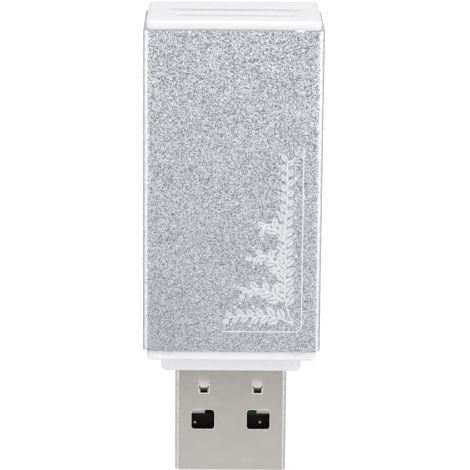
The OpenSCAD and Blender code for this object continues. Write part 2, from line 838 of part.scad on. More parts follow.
// The frame of the left side's card hangs under the board and opens to the left.
module thick_card_frame() {
    half = thick_card_w / 2;
    outer = half + frame_rail;
    slit = [-spring_slit, spring_slit];
    slit_z = thick_z1 + contact_gap;
    color("#1c1c1e")
    difference() {
        translate([0, side_slot_y, 0])
            union() {
                block([-frame_x, frame_x], [-outer, outer], [thick_z0 - frame_plate, thick_z0]);
                for (side = [-1, 1])
                    block([-frame_x, frame_x], side > 0 ? [half, outer] : [-outer, -half],
                        [thick_z0 - frame_plate, thick_top_z]);
                block([stop_x, frame_x], [-outer, outer], [thick_z0 - frame_plate, board_z0]);
            }
        for (i = [0 : thick_contacts - 1])
            translate([0, side_contact_y(i, thick_contacts, thick_pitch), 0]) {
                block([stop_x - cut, frame_x + cut], slit, [slit_z, slit_z + 2 * contact_gap + side_sheet]);
                block([frame_x - side_sheet - contact_gap, frame_x + cut], slit, [slit_z, board_z0 + cut]);
            }
        socket_relief(lower_half_w, thick_top_z, board_z0 + cut);
    }
}

// The springs over the left side's card, with a leg up to the board.
module thick_card_contacts() {
    z = thick_z1 + 2 * contact_gap;
    tip = stop_x - spring_reach;
    leg_x = frame_x - side_sheet;
    color("gold")
    for (i = [0 : thick_contacts - 1])
        translate([0, side_contact_y(i, thick_contacts, thick_pitch), 0])
            rotate([90, 0, 0])
                translate([0, 0, -side_spring_w / 2])
                    linear_extrude(side_spring_w)
                        polygon([
                            [frame_x, board_z0], [leg_x, board_z0], [leg_x, z + side_sheet],
                            [stop_x - 0.3, z + side_sheet], [tip + 0.7, z - 0.2], [tip + 0.1, z + 0.05],
                            [tip, z - 0.07], [tip + 0.7, z - 0.37], [stop_x - 0.2, z],
                            [frame_x, z]
                        ]);
}

module controller_chip() {
    color("#202020")
    translate([0, chip_y, board_z1 + stand_off])
        along_z(0, chip_t)
            difference() {
                square(chip_side, center = true);
                for (a = [0 : 90 : 270])
                    rotate(a)
                        translate([chip_side / 2, chip_side / 2])
                            rotate(45)
                                square(chip_corner, center = true);
            }
}

// Gull-wing leads on all four sides of the controller.
module controller_leads() {
    top = stand_off + chip_t / 2;
    half = chip_side / 2;
    knee = half + lead_reach / 3;
    color("lightgray")
    translate([0, chip_y, board_z1])
        for (a = [0 : 90 : 270])
            rotate(a)
                for (i = [0 : chip_leads - 1])
                    translate([0, (i - (chip_leads - 1) / 2) * chip_pitch, 0])
                        rotate([90, 0, 0])
                            translate([0, 0, -lead_w / 2])
                                linear_extrude(lead_w)
                                    polygon([
                                        [half, top + lead_t], [knee, top + lead_t],
                                        [knee + 1.5 * lead_t, lead_t], [half + lead_reach, lead_t],
                                        [half + lead_reach, 0], [knee + lead_t / 2, 0],
                                        [knee - lead_t, top], [half, top]
                                    ]);
}

module crystal() {
    color("silver")
    translate([0, chip_y, board_z0]) {
        block([-crystal_l / 2, crystal_l / 2], [-crystal_w / 2, crystal_w / 2], [-crystal_base_t, 0]);
        along_z(-crystal_t, -crystal_base_t)
            round_rect(crystal_l - 2 * crystal_rim, crystal_w - 2 * crystal_rim, crystal_r);
    }
}

// One small passive part with its two end caps, flat on the board at z = 0.
module passive(height) {
    block([-passive_l / 2, passive_l / 2], [-passive_w / 2, passive_w / 2], [0, height - slack / 2]);
    for (side = [-1, 1])
        translate([side * (passive_l - cap_l) / 2, 0, 0])
            block([-cap_l / 2, cap_l / 2], [-passive_w / 2, passive_w / 2], [0, height]);
}

// Capacitors stand on the board beside the controller and behind the sockets.
module capacitors() {
    color("tan") {
        for (i = [-1.5 : 1.5])
            translate([i * 2.5 * passive_w, chip_y + chip_side / 2 + lead_reach + passive_w, board_z1])
                rotate(90)
                    passive(capacitor_t);
        for (side = [-1, 1])
            translate([side * (crystal_l / 2 + 2 * passive_w), chip_y, board_z0])
                mirror([0, 0, 1])
                    rotate(90)
                        passive(capacitor_t);
    }
}

// Resistors stand behind the plug's tabs.
module resistors() {
    color("#303030")
    for (i = [-1 : 1])
        translate([i * 1.5 * passive_l, chip_y - chip_side / 2 - lead_reach - passive_w, board_z1])
            passive(resistor_t);
}

module status_led() {
    color("honeydew")
    translate([stop_x - passive_l / 2 - notch_room, side_slot_y - wide_card_w / 2 + passive_w, board_z1]) {
        block([-passive_l / 2, passive_l / 2], [-passive_w / 2, passive_w / 2], [0, resistor_t / 2]);
        block([-passive_l / 3, passive_l / 3], [-passive_w / 2, passive_w / 2], [0, resistor_t * 1.5]);
    }
}

sleeve();
slot_bezel();
plug_collar();
plug_shell();
plug_insulator();
power_contact();
data_minus_contact();
data_plus_contact();
ground_contact();
circuit_board();
upper_socket_base();
upper_socket_cover();
upper_socket_contacts();
lower_socket_base();
lower_socket_cover();
lower_socket_contacts();
wide_card_frame();
wide_card_contacts();
thick_card_frame();
thick_card_contacts();
controller_chip();
controller_leads();
crystal();
capacitors();
resistors();
status_led();
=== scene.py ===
"""A pocket memory card reader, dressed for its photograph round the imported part.

Lengths are written in millimetres and turned into metres by MM. X runs across the
width, Y towards the end slots and Z up through the printed face.
"""

from __future__ import annotations

import json
import logging
import math
from dataclasses import dataclass, field, replace
from enum import Enum
from typing import Any, Iterable, Sequence, Union

import bmesh
import bpy
from mathutils import Matrix, Vector
from mathutils.bvhtree import BVHTree
from mathutils.geometry import delaunay_2d_cdt

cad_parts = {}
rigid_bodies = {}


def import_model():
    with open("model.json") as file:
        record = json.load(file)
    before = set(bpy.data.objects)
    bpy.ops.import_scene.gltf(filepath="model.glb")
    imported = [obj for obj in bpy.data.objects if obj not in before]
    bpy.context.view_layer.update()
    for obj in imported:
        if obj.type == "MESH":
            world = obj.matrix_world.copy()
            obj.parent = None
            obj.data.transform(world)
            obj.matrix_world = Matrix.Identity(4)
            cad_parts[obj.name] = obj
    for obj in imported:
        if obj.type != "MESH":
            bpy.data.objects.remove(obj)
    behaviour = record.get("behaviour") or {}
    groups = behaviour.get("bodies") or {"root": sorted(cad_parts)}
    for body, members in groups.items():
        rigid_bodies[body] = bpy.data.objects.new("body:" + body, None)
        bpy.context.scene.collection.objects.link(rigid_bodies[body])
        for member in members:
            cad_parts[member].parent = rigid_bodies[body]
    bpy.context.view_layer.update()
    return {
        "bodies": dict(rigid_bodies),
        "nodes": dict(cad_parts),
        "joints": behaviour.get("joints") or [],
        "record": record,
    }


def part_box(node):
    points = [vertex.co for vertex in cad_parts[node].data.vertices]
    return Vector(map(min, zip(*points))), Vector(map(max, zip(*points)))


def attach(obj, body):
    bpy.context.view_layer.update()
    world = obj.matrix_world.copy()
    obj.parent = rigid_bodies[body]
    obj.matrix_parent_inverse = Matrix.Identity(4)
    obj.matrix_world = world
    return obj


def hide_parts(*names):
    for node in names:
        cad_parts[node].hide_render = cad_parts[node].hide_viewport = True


MM = 0.001
BODY = "root"
CREASE = 34.0
ROUND_CREASE = 60.0
FULL = (0.0, 1.0)
NOISE_SPAN = (0.3, 0.7)
LOG = logging.getLogger("card_reader")

Colour = tuple[float, float, float]
Point = tuple[float, float, float]
Span = tuple[float, float]
Socket = bpy.types.NodeSocket
Number = Union[bpy.types.NodeSocket, float]


class Slot(Enum):
    """The record's material slots."""

    ALUMINIUM = "blasted_aluminium"
    WHITE = "white_plastic"
    NICKEL = "nickel_plated_steel"
    DARK = "dark_plastic"
    GILT = "gilt_contact"
    LAMINATE = "green_laminate"
    BLACK = "black_plastic"
    SOCKET = "socket_steel"
    EPOXY = "chip_epoxy"
    TINNED = "tinned_copper"
    CRYSTAL = "crystal_can"
    CAPACITOR = "capacitor_ceramic"
    RESISTOR = "resistor_ceramic"
    LED = "led_resin"


class Axis(Enum):
    """The directions in which a rolled or drawn surface shows its lines."""

    NONE = (1.0, 1.0, 1.0)
    ALONG_Y = (1.0, 0.06, 1.0)
    ALONG_X = (0.06, 1.0, 1.0)


# ---- node trees and materials


def scaled(colour: Colour, factor: float) -> Colour:
    """Gives a colour made lighter or darker by a factor, kept under full white."""
    return tuple(min(0.98, share * factor) for share in colour)


class Wiring:
    """A node tree under construction."""

    def __init__(self, tree: bpy.types.NodeTree) -> None:
        """Empties the tree that gets the nodes."""
        self.tree = tree
        self.tree.nodes.clear()

    def link(self, source: Socket, target: Socket) -> None:
        """Joins two sockets."""
        self.tree.links.new(source, target)

    def add(self, kind: str, links: dict[Any, Any] | None = None, **values: Any) -> bpy.types.Node:
        """Adds a node and fills its sockets.

        Args:
            kind: The node's type.
            links: For each input's name or number, a socket to join or a value.
            **values: Properties that are set on the node.

        Returns:
            The node.
        """
        node = self.tree.nodes.new(kind)
        for key, value in values.items():
            setattr(node, key, value)
        for key, value in (links or {}).items():
            if isinstance(value, Socket):
                self.link(value, node.inputs[key])
            else:
                node.inputs[key].default_value = value
        return node

    def math(self, operation: str, *parts: Number) -> Socket:
        """Adds one sum.

        Args:
            operation: The kind of sum.
            *parts: The numbers, or their sockets.

        Returns:
            The result's socket.
        """
        return self.add("ShaderNodeMath", dict(enumerate(parts)), operation=operation).outputs[0]

    def parts(self, vector: Socket) -> list[Socket]:
        """Splits a vector into its three numbers."""
        return list(self.add("ShaderNodeSeparateXYZ", {0: vector}).outputs)


class Shader(Wiring):
    """A material under construction that reads its patterns from object coordinates."""

    def __init__(self, name: str) -> None:
        """Starts a material with one surface shader.

        Args:
            name: The material's name.
        """
        self.material = bpy.data.materials.new(name)
        self.material.use_nodes = True
        super().__init__(self.material.node_tree)
        self.surface = self.add("ShaderNodeBsdfPrincipled")
        self.add("ShaderNodeOutputMaterial", {"Surface": self.surface.outputs["BSDF"]})
        self.where = self.add("ShaderNodeTexCoord").outputs["Object"]

    def put(self, socket: str, value: Any) -> None:
        """Sets a value on the surface shader's own socket."""
        self.surface.inputs[socket].default_value = value

    def tint(self, colour: Socket) -> None:
        """Gives the surface its colour."""
        self.link(colour, self.surface.inputs["Base Color"])

    def stretched(self, axis: Axis) -> Socket:
        """Gives the coordinates pulled out along one direction.

        Args:
            axis: The direction in which the pattern runs.

        Returns:
            The coordinates' socket.
        """
        if axis is Axis.NONE:
            return self.where
        return self.add("ShaderNodeMapping", {"Vector": self.where, "Scale": axis.value}).outputs[0]

    def noise(
        self, size: float, detail: float = 2.0, rough: float = 0.5, axis: Axis = Axis.NONE
    ) -> Socket:
        """Adds a cloudy pattern.

        Args:
            size: The size of one blot in millimetres.
            detail: The number of finer layers.
            rough: The strength of the finer layers.
            axis: The direction in which the pattern runs.

        Returns:
            The pattern's socket, about 0 to 1.
        """
        links = {
            "Vector": self.stretched(axis),
            "Scale": 1 / (size * MM),
            "Detail": detail,
            "Roughness": rough,
        }
        return self.add("ShaderNodeTexNoise", links).outputs["Fac"]

    def height(self, axis: int, span: Span) -> Socket:
        """Gives how far a point lies between two places along one direction.

        Args:
            axis: 0 for the width, 1 for the length and 2 for the thickness.
            span: The places in millimetres where the result is 0 and 1.

        Returns:
            The socket, kept between 0 and 1.
        """
        return self.remap(self.parts(self.where)[axis], (span[0] * MM, span[1] * MM))

    def unsigned(self, vector: Socket) -> list[Socket]:
        """Splits a vector into its three numbers without their signs."""
        plain = self.add("ShaderNodeVectorMath", {0: vector}, operation="ABSOLUTE")
        return self.parts(plain.outputs[0])

    def within(self, room: tuple[Point, Point]) -> Number:
        """Gives 1 inside a room and 0 elsewhere, the same on both sides of each middle.

        Args:
            room: The room's nearest and farthest corner in millimetres, without signs.

        Returns:
            The socket.
        """
        inside = 1.0
        for place, near, far in zip(self.unsigned(self.where), *room):
            beyond = self.math("GREATER_THAN", place, near * MM)
            short = self.math("LESS_THAN", place, far * MM)
            inside = self.math("MULTIPLY", inside, self.math("MULTIPLY", beyond, short))
        return inside

    def facing(self) -> list[Socket]:
        """Gives how far the surface faces along each main direction, without its sign."""
        return self.unsigned(self.add("ShaderNodeTexCoord").outputs["Normal"])

    def turned(self, span: Span) -> Socket:
        """Gives how far the surface turns away from the three main directions.

        Args:
            span: The shares along a main direction at which the result is 0 and 1.

        Returns:
            The socket, 0 on flat faces and 1 on bends and eased edges.
        """
        across, along, up = self.facing()
        return self.remap(self.math("MAXIMUM", self.math("MAXIMUM", across, along), up), span)

    def grains(self, size: float) -> tuple[Socket, Socket]:
        """Adds small cells that each have one chance value.

        Args:
            size: The size of one cell in millimetres.

        Returns:
            The values' socket, 0 to 1, and the socket of the distance from each cell's middle.
        """
        cells = self.add("ShaderNodeTexVoronoi", {"Vector": self.where, "Scale": 1 / (size * MM)})
        split = self.add("ShaderNodeSeparateColor", {"Color": cells.outputs["Color"]})
        return split.outputs["Red"], cells.outputs["Distance"]

    def remap(self, source: Socket, span: Span, to: Span = FULL) -> Socket:
        """Fits a value's range to another.

        Args:
            source: The value.
            span: The range that is read.
            to: The range that comes out.

        Returns:
            The new value's socket.
        """
        names = ("From Min", "From Max", "To Min", "To Max")
        links = {"Value": source, **dict(zip(names, (*span, *to)))}
        return self.add("ShaderNodeMapRange", links).outputs["Result"]

    def blend(self, share: Number, first: Socket | Colour, second: Socket | Colour) -> Socket:
        """Mixes two colours.

        Args:
            share: How much of the second colour shows.
            first: The first colour, or its socket.
            second: The second colour, or its socket.

        Returns:
            The mixed colour's socket.
        """
        low, high = (part if isinstance(part, Socket) else (*part, 1.0) for part in (first, second))
        return self.add("ShaderNodeMix", {0: share, 6: low, 7: high}, data_type="RGBA").outputs[2]

    def bump(self, height: Socket, depth: float) -> None:
        """Roughens the surface's shading.

        Args:
            height: The height pattern.
            depth: The depth of the pattern in millimetres.
        """
        node = self.add("ShaderNodeBump", {"Height": height, "Distance": depth * MM, "Strength": 1.0})
        self.link(node.outputs["Normal"], self.surface.inputs["Normal"])


@dataclass(frozen=True)
class Finish:
    """A plain finish with mottled colour and a fine surface grain.

    Attributes:
        name: The material's name.
        colour: The middle colour in linear light.
        metallic: 1 for bare metal and 0 for anything else.
        roughness: The middle roughness.
        mottle: How far the colour wanders, as a share.
        mottle_size: The size of the colour's blots in millimetres.
        grain_size: The size of the surface grain in millimetres.
        grain_depth: The depth of the surface grain in millimetres.
        wander: How far the roughness wanders.
        axis: The direction in which the grain runs.
        specular: The level of the surface's plain reflection.
        edge_highlight: How much the lighter edges show, or 0 for none; this is painted highlight.
        edge_highlight_colour: The colour of the painted highlight on eased edges and bends.
        edge_highlight_span: How flat the surface is where the painted highlight starts and where it is
            full.
        edge_highlight_along: Whether only the edges along the length get the painted highlight.
        edge_highlight_patch: The size of a strong or a weak patch of the painted highlight in
            millimetres.
        edge_highlight_patchiness: How much shows in a weak and in a strong patch.
        depth_glow: The share of light that enters the material and comes out near by.
        glow_reach: How far that light travels in millimetres.
        glow_tint: How far each colour of it travels, as a share.
    """

    name: str
    colour: Colour
    metallic: float = 0.0
    roughness: float = 0.45
    mottle: float = 0.05
    mottle_size: float = 2.0
    grain_size: float = 0.12
    grain_depth: float = 0.004
    wander: float = 0.06
    axis: Axis = Axis.NONE
    specular: float = 0.5
    edge_highlight: float = 0.0
    edge_highlight_colour: Colour = (0.9, 0.9, 0.9)
    edge_highlight_span: Span = (0.985, 0.85)
    edge_highlight_along: bool = False
    edge_highlight_patch: float = 0.5
    edge_highlight_patchiness: Span = (0.55, 1.0)
    depth_glow: float = 0.0
    glow_reach: float = 0.8
    glow_tint: Colour = (1.0, 0.9, 0.8)

    def start(self) -> Shader:
        """Starts the material with the values that are the same all over."""
        shader = Shader(self.name)
        shader.put("Metallic", self.metallic)
        shader.put("Specular IOR Level", self.specular)
        if self.depth_glow:
            shader.put("Subsurface Weight", self.depth_glow)
            shader.put("Subsurface Radius", self.glow_tint)
            shader.put("Subsurface Scale", self.glow_reach * MM)
        return shader

    def mottled(self, shader: Shader, blots: Socket) -> Socket:
        """Gives the middle colour, lighter and darker by the mottle.

        Args:
            shader: The material under construction.
            blots: The pattern of the blots.

        Returns:
            The colour's socket.
        """
        darker, lighter = scaled(self.colour, 1 - self.mottle), scaled(self.colour, 1 + self.mottle)
        return shader.blend(shader.remap(blots, NOISE_SPAN), darker, lighter)

    def with_edge_highlight(self, shader: Shader, colour: Socket) -> Socket:
        """Lays the painted highlight of eased edges and bends over a colour.

        Args:
            shader: The material under construction.
            colour: The colour of the flat faces.

        Returns:
            The colour with its painted edge highlight.
        """
        if not self.edge_highlight:
            return colour
        # Lighter colour on eased edges and bends, in patches of varying strength: a painted highlight.
        highlight_patches = shader.remap(shader.noise(self.edge_highlight_patch, 3.0, 0.6), (0.3, 0.6), self.edge_highlight_patchiness)
        share = shader.math("MULTIPLY", shader.turned(self.edge_highlight_span), highlight_patches)
        if self.edge_highlight_along:
            lengthwise = shader.remap(shader.facing()[1], (0.3, 0.1))
            share = shader.math("MULTIPLY", share, lengthwise)
        return shader.blend(shader.math("MULTIPLY", share, self.edge_highlight), colour, self.edge_highlight_colour)

    def shine(self, shader: Shader, pattern: Socket, span: Span = NOISE_SPAN) -> None:
        """Lets the roughness wander with a pattern.

        Args:
            shader: The material under construction.
            pattern: The pattern.
            span: The pattern's range that is read.
        """
        low, high = self.roughness - self.wander, self.roughness + self.wander
        shader.link(shader.remap(pattern, span, (low, high)), shader.surface.inputs["Roughness"])

    def build(self) -> bpy.types.Material:
        """Makes the material.

        Returns:
            The material.
        """
        shader = self.start()
        blots = shader.noise(self.mottle_size, 3.0, 0.55, self.axis)
        colour = self.with_edge_highlight(shader, self.mottled(shader, blots))
        self.dress(shader, colour, shader.noise(self.grain_size, 2.0, 0.6, self.axis))
        return shader.material

    def dress(self, shader: Shader, colour: Socket, grain: Socket) -> None:
        """Links colour, roughness and grain to the surface.

        Args:
            shader: The material under construction.
            colour: The mottled colour.
            grain: The fine grain.
        """
        shader.tint(colour)
        self.shine(shader, grain)
        shader.bump(grain, self.grain_depth)


@dataclass(frozen=True)
class BlastedAluminium(Finish):
    """Aluminium blasted with fine grit and anodised; each grain's colour holds its own tone and a
    painted glint.

    Attributes:
        grit: The size of one glittering grain in millimetres.
        spot_span: The distances from a grain's middle where its painted glint is full and where it
            ends.
        spot_share: How strongly the glint counts beside the grain's own chance value.
        glitter_span: The sums of both that give the darkest and the lightest colour.
        dark: The colour of the darkest grains.
        light: The colour of the lightest grains.
        drift: How far the brightness drifts over the face.
        drift_size: The size of such a drift in millimetres.
        painted_shade: The even darker colour painted as shade towards the plug's end and the left side.
        painted_shade_share: How much of that painted shade shows at the plug's end.
        painted_shade_span: The places along the length where it starts and where it is full.
        painted_shade_across: The places of the right and the left side across the width.
        painted_shade_sides: How strongly it shows at the right and at the left side.
        ink: The share of pale ink that lies over the metal.
        ink_colour: The ink's own colour.
        cut_colour: The bare metal's colour where the tube is sawn off.
        cut_share: How much of that colour shows.
    """

    grit: float = 0.085
    spot_span: Span = (0.15, 0.8)
    spot_share: float = 1.5
    glitter_span: Span = (0.5, 1.9)
    dark: Colour = (0.10, 0.103, 0.116)
    light: Colour = (0.91, 0.93, 0.98)
    drift: float = 0.03
    drift_size: float = 3.5
    painted_shade: Colour = (0.27, 0.28, 0.315)
    painted_shade_share: float = 0.38
    painted_shade_span: Span = (17.0, -17.0)
    painted_shade_across: Span = (9.4, -9.4)
    painted_shade_sides: Span = (0.75, 1.2)
    ink: float = 0.0
    ink_colour: Colour = (0.72, 0.73, 0.76)
    cut_colour: Colour = (0.62, 0.62, 0.64)
    cut_share: float = 0.8

    def build(self) -> bpy.types.Material:
        """Makes the material.

        Returns:
            The material.
        """
        shader = self.start()
        # Each grain gets a chance tone and a painted glint, brightest at its middle, that stands in for
        # the grit's sparkle.
        cells, reach = shader.grains(self.grit)
        spots = shader.remap(reach, self.spot_span, (1.0, 0.0))
        glitter = shader.math("ADD", cells, shader.math("MULTIPLY", spots, self.spot_share))
        glitter = shader.remap(glitter, self.glitter_span)
        clouds = shader.noise(self.drift_size, 3.0, 0.5)
        drift = shader.remap(clouds, NOISE_SPAN, (-self.drift, self.drift))
        colour = shader.blend(shader.math("ADD", glitter, drift), self.dark, self.light)
        # Painted shade: the face turns evenly darker towards the plug's end, and more so on the left
        # side, which also evens out its grain.
        shade_along = shader.math("MULTIPLY", shader.height(1, self.painted_shade_span), self.painted_shade_share)
        sides = shader.remap(shader.height(0, self.painted_shade_across), FULL, self.painted_shade_sides)
        colour = shader.blend(shader.math("MULTIPLY", shade_along, sides), colour, self.painted_shade)
        if self.ink:
            colour = shader.blend(self.ink, colour, self.ink_colour)
        else:
            sawn = shader.remap(shader.facing()[1], (0.75, 0.95), (0.0, self.cut_share))
            colour = shader.blend(sawn, self.with_edge_highlight(shader, colour), self.cut_colour)
        shader.tint(colour)
        self.shine(shader, cells, FULL)
        shader.bump(glitter, self.grain_depth)
        return shader.material


@dataclass(frozen=True)
class PlatedSheet(Finish):
    """Nickel on steel sheet, with painted shade towards the collar and in its pressed hollows.

    Attributes:
        collar_shade: The darker, warmer colour painted as the collar's shade over the plug's root.
        collar_shade_span: Where the painted shade starts and where it is full, in millimetres.
        collar_shade_power: How late along the plug the painted shade grows.
        collar_shade_patch: The size of a patch in the painted shade in millimetres.
        collar_shade_patchiness: How much shows in a light and in a strong patch.
        hollow_shade: The dark colour painted as shade down in the hollows and on the flaps.
        tab_span: The heights where the shade behind the tabs starts and is full.
        tab_place: The corners of the room that this shade keeps to, on either side.
        flap_span: The heights where the shade on the flaps in the windows starts and is full.
        flap_place: The corners of the room that this shade keeps to, on either side.
        cut_colour: The colour of the sheet's dull punched edges.
        cut_metallic: How metallic the sheet is on its faces and on its punched edges.
    """

    collar_shade: Colour = (0.335, 0.315, 0.287)
    collar_shade_span: Span = (-31.0, -20.2)
    collar_shade_power: float = 2.2
    collar_shade_patch: float = 1.1
    collar_shade_patchiness: Span = (0.75, 1.1)
    hollow_shade: Colour = (0.075, 0.062, 0.056)
    tab_span: Span = (8.50, 8.44)
    tab_place: tuple[Point, Point] = ((0.0, 20.2, 8.0), (4.8, 24.0, 9.0))
    flap_span: Span = (9.05, 8.25)
    flap_place: tuple[Point, Point] = ((1.7, 25.09, 7.8), (4.3, 27.3, 9.0))
    cut_colour: Colour = (0.30, 0.25, 0.23)
    cut_metallic: Span = (1.0, 0.2)

    def build(self) -> bpy.types.Material:
        """Makes the material.

        Returns:
            The material.
        """
        shader = self.start()
        colour = self.mottled(shader, shader.noise(self.mottle_size, 4.0, 0.6))
        # Painted shade: darker and warmer towards the collar, as in the collar's shadow.
        reach = shader.math("POWER", shader.height(1, self.collar_shade_span), self.collar_shade_power)
        patchy = shader.remap(shader.noise(self.collar_shade_patch, 3.0, 0.6), NOISE_SPAN, self.collar_shade_patchiness)
        colour = shader.blend(shader.math("MULTIPLY", reach, patchy), colour, self.collar_shade)
        colour = self.with_edge_highlight(shader, colour)
        tab, flap = (
            shader.math("MULTIPLY", shader.height(2, span), shader.within(place))
            for span, place in ((self.tab_span, self.tab_place), (self.flap_span, self.flap_place))
        )
        # Painted shade behind the tabs and on the flaps seen in the windows.
        colour = shader.blend(shader.math("MAXIMUM", tab, flap), colour, self.hollow_shade)
        cut = shader.remap(shader.facing()[1], (0.9, 0.98))
        colour = shader.blend(cut, colour, self.cut_colour)
        shader.link(shader.remap(cut, FULL, self.cut_metallic), shader.surface.inputs["Metallic"])
        self.dress(shader, colour, shader.noise(self.grain_size, 2.0, 0.6, self.axis))
        return shader.material


@dataclass(frozen=True)
class Laminate(Finish):
    """A circuit board's solder mask over copper tracks.

    Attributes:
        track: The spacing of the tracks in millimetres.
        track_turns: The number of tracks round each cell of the pattern.
        track_span: The shares of a turn where a track starts and where it is full.
        track_depth: The height of a track in millimetres.
        track_colour: The mask's colour over copper.
        grain_share: How strongly the grain shows beside the tracks.
    """

    track: float = 0.9
    track_turns: float = 3.2
    track_span: Span = (0.5, 0.58)
    track_depth: float = 0.02
    track_colour: Colour = (0.006, 0.045, 0.014)
    grain_share: float = 0.2

    def dress(self, shader: Shader, colour: Socket, grain: Socket) -> None:
        """Draws the tracks into the colour and raises them a little.

        Args:
            shader: The material under construction.
            colour: The mottled colour.
            grain: The fine grain.
        """
        cells = shader.add(
            "ShaderNodeTexVoronoi",
            {"Vector": shader.where, "Scale": 1 / (self.track * 2 * MM), "Randomness": 0.8},
            distance="CHEBYCHEV",
            feature="F1",
        )
        turns = shader.math("MULTIPLY", cells.outputs["Distance"], self.track_turns)
        tracks = shader.remap(shader.math("FRACT", turns), self.track_span)
        shader.tint(shader.blend(tracks, colour, self.track_colour))
        self.shine(shader, grain)
        relief = shader.math("ADD", tracks, shader.math("MULTIPLY", grain, self.grain_share))
        shader.bump(relief, self.track_depth)


FINISHES: dict[Slot, Finish] = {
    # The sleeve's lighter edge values paint the highlight strip along its long rounded corners.
    Slot.ALUMINIUM: BlastedAluminium(
        "blasted_aluminium", (0.5, 0.51, 0.55), metallic=0.9, roughness=0.42, grain_depth=0.003,
        wander=0.1, edge_highlight=0.95, edge_highlight_colour=(0.82, 0.83, 0.87), edge_highlight_span=(0.90, 0.80), edge_highlight_along=True,
    ),
    Slot.WHITE: Finish(
        "white_plastic", (0.875, 0.87, 0.885), roughness=0.42, mottle=0.012, mottle_size=3.0,
        grain_size=0.09, grain_depth=0.0025, wander=0.05, edge_highlight=0.5, edge_highlight_colour=(0.93, 0.93, 0.94),
        depth_glow=0.45,
    ),
    # The plug's lighter edge values paint the highlight along the sheet's bends.
    Slot.NICKEL: PlatedSheet(
        "nickel_plated_steel", (0.44, 0.417, 0.40), metallic=1.0, roughness=0.3, mottle=0.03,
        mottle_size=1.6, grain_size=0.16, grain_depth=0.0002, wander=0.02, axis=Axis.ALONG_Y,
        edge_highlight=0.9, edge_highlight_colour=(0.66, 0.65, 0.63), edge_highlight_span=(0.975, 0.9),
    ),
    Slot.DARK: Finish(
        "dark_plastic", (0.010, 0.006, 0.005), roughness=0.55, mottle=0.2, mottle_size=0.6,
        grain_size=0.08, wander=0.1, specular=0.12,
    ),
    Slot.GILT: Finish(
        "gilt_contact", (0.86, 0.62, 0.24), metallic=1.0, roughness=0.26, mottle=0.06,
        mottle_size=0.5, grain_size=0.07, grain_depth=0.001, wander=0.08, axis=Axis.ALONG_Y,
    ),
    Slot.LAMINATE: Laminate(
        "green_laminate", (0.002, 0.024, 0.007), roughness=0.4, mottle=0.12, mottle_size=1.2,
        grain_size=0.06, grain_depth=0.002, specular=0.1,
    ),
    Slot.BLACK: Finish(
        "black_plastic", (0.02, 0.02, 0.022), roughness=0.5, mottle=0.15, mottle_size=0.8,
        grain_size=0.09, wander=0.1, specular=0.3, edge_highlight=0.3, edge_highlight_colour=(0.08, 0.08, 0.085),
    ),
    Slot.SOCKET: Finish(
        "socket_steel", (0.62, 0.61, 0.6), metallic=1.0, roughness=0.25, mottle_size=1.0,
        grain_size=0.14, grain_depth=0.001, wander=0.07, axis=Axis.ALONG_X,
    ),
    Slot.EPOXY: Finish(
        "chip_epoxy", (0.018, 0.018, 0.02), roughness=0.6, mottle=0.15, mottle_size=0.5,
        grain_size=0.06, wander=0.08,
    ),
    Slot.TINNED: Finish(
        "tinned_copper", (0.66, 0.65, 0.63), metallic=1.0, roughness=0.33, mottle=0.07,
        mottle_size=0.3, grain_size=0.08, grain_depth=0.002, wander=0.1,
    ),
    Slot.CRYSTAL: Finish(
        "crystal_can", (0.66, 0.64, 0.6), metallic=1.0, roughness=0.22, mottle_size=0.8,
        grain_depth=0.001,
    ),
    Slot.CAPACITOR: Finish(
        "capacitor_ceramic", (0.36, 0.24, 0.14), roughness=0.5, mottle=0.12, mottle_size=0.3,
        grain_size=0.05, grain_depth=0.002, wander=0.08,
    ),
    Slot.RESISTOR: Finish(
        "resistor_ceramic", (0.03, 0.03, 0.034), roughness=0.4, mottle=0.12, mottle_size=0.3,
        grain_size=0.05, grain_depth=0.002, wander=0.08,
    ),
    Slot.LED: Finish(
        "led_resin", (0.75, 0.8, 0.72), roughness=0.2, mottle_size=0.3, grain_size=0.05,
        grain_depth=0.001, wander=0.05,
    ),
}
# A tan bead that fills the gap along the rim: partly glue, partly the gap's painted shade.
GAP_GLUE_AND_SHADE = Finish(
    "glue_and_gap_shade", (0.46, 0.43, 0.39), roughness=0.35, mottle=0.25, mottle_size=0.4,
    grain_size=0.06, wander=0.08,
)
# A lighter metal than the plating: the burrs' colour is painted highlight on the openings' edges.
BURR_HIGHLIGHT = Finish(
    "burr_highlight", (0.74, 0.73, 0.71), metallic=1.0, roughness=0.25, mottle_size=0.3,
    grain_size=0.06, grain_depth=0.001, wander=0.05,
)
# Pale domes in the windows' shade: painted glints.
GLINT_PIP = Finish(
    "painted_glint", (0.85, 0.84, 0.8), metallic=0.2, roughness=0.2, mottle=0.1, mottle_size=0.2,
    grain_size=0.05, grain_depth=0.001, wander=0.05,
)
FLASH = Finish(
    "moulding_flash", (0.88, 0.88, 0.89), roughness=0.4, mottle=0.03, mottle_size=0.3,
    grain_size=0.06, grain_depth=0.003, wander=0.05,
)


@dataclass
class Paint:
    """Hands out each material once.

    Attributes:
        made: The materials made so far, by name.
    """

    made: dict[str, bpy.types.Material] = field(default_factory=dict)

    def of(self, finish: Finish) -> bpy.types.Material:
        """Gives the material of a finish.

        Args:
            finish: The finish.

        Returns:
            Its material, made on the first call.
        """
        if finish.name not in self.made:
            self.made[finish.name] = finish.build()
        return self.made[finish.name]

    def of_slot(self, slot: Slot) -> bpy.types.Material:
        """Gives the material of a slot's finish."""
        return self.of(FINISHES[slot])


# ---- meshes


def plain_object(name: str, data: bpy.types.ID) -> bpy.types.Object:
    """Puts a mesh, curve, lamp or camera in the scene at the origin.

    Args:
        name: The object's name.
        data: What the object holds.

    Returns:
        The new object.
    """
    made = bpy.data.objects.new(name, data)
    bpy.context.scene.collection.objects.link(made)
    return made


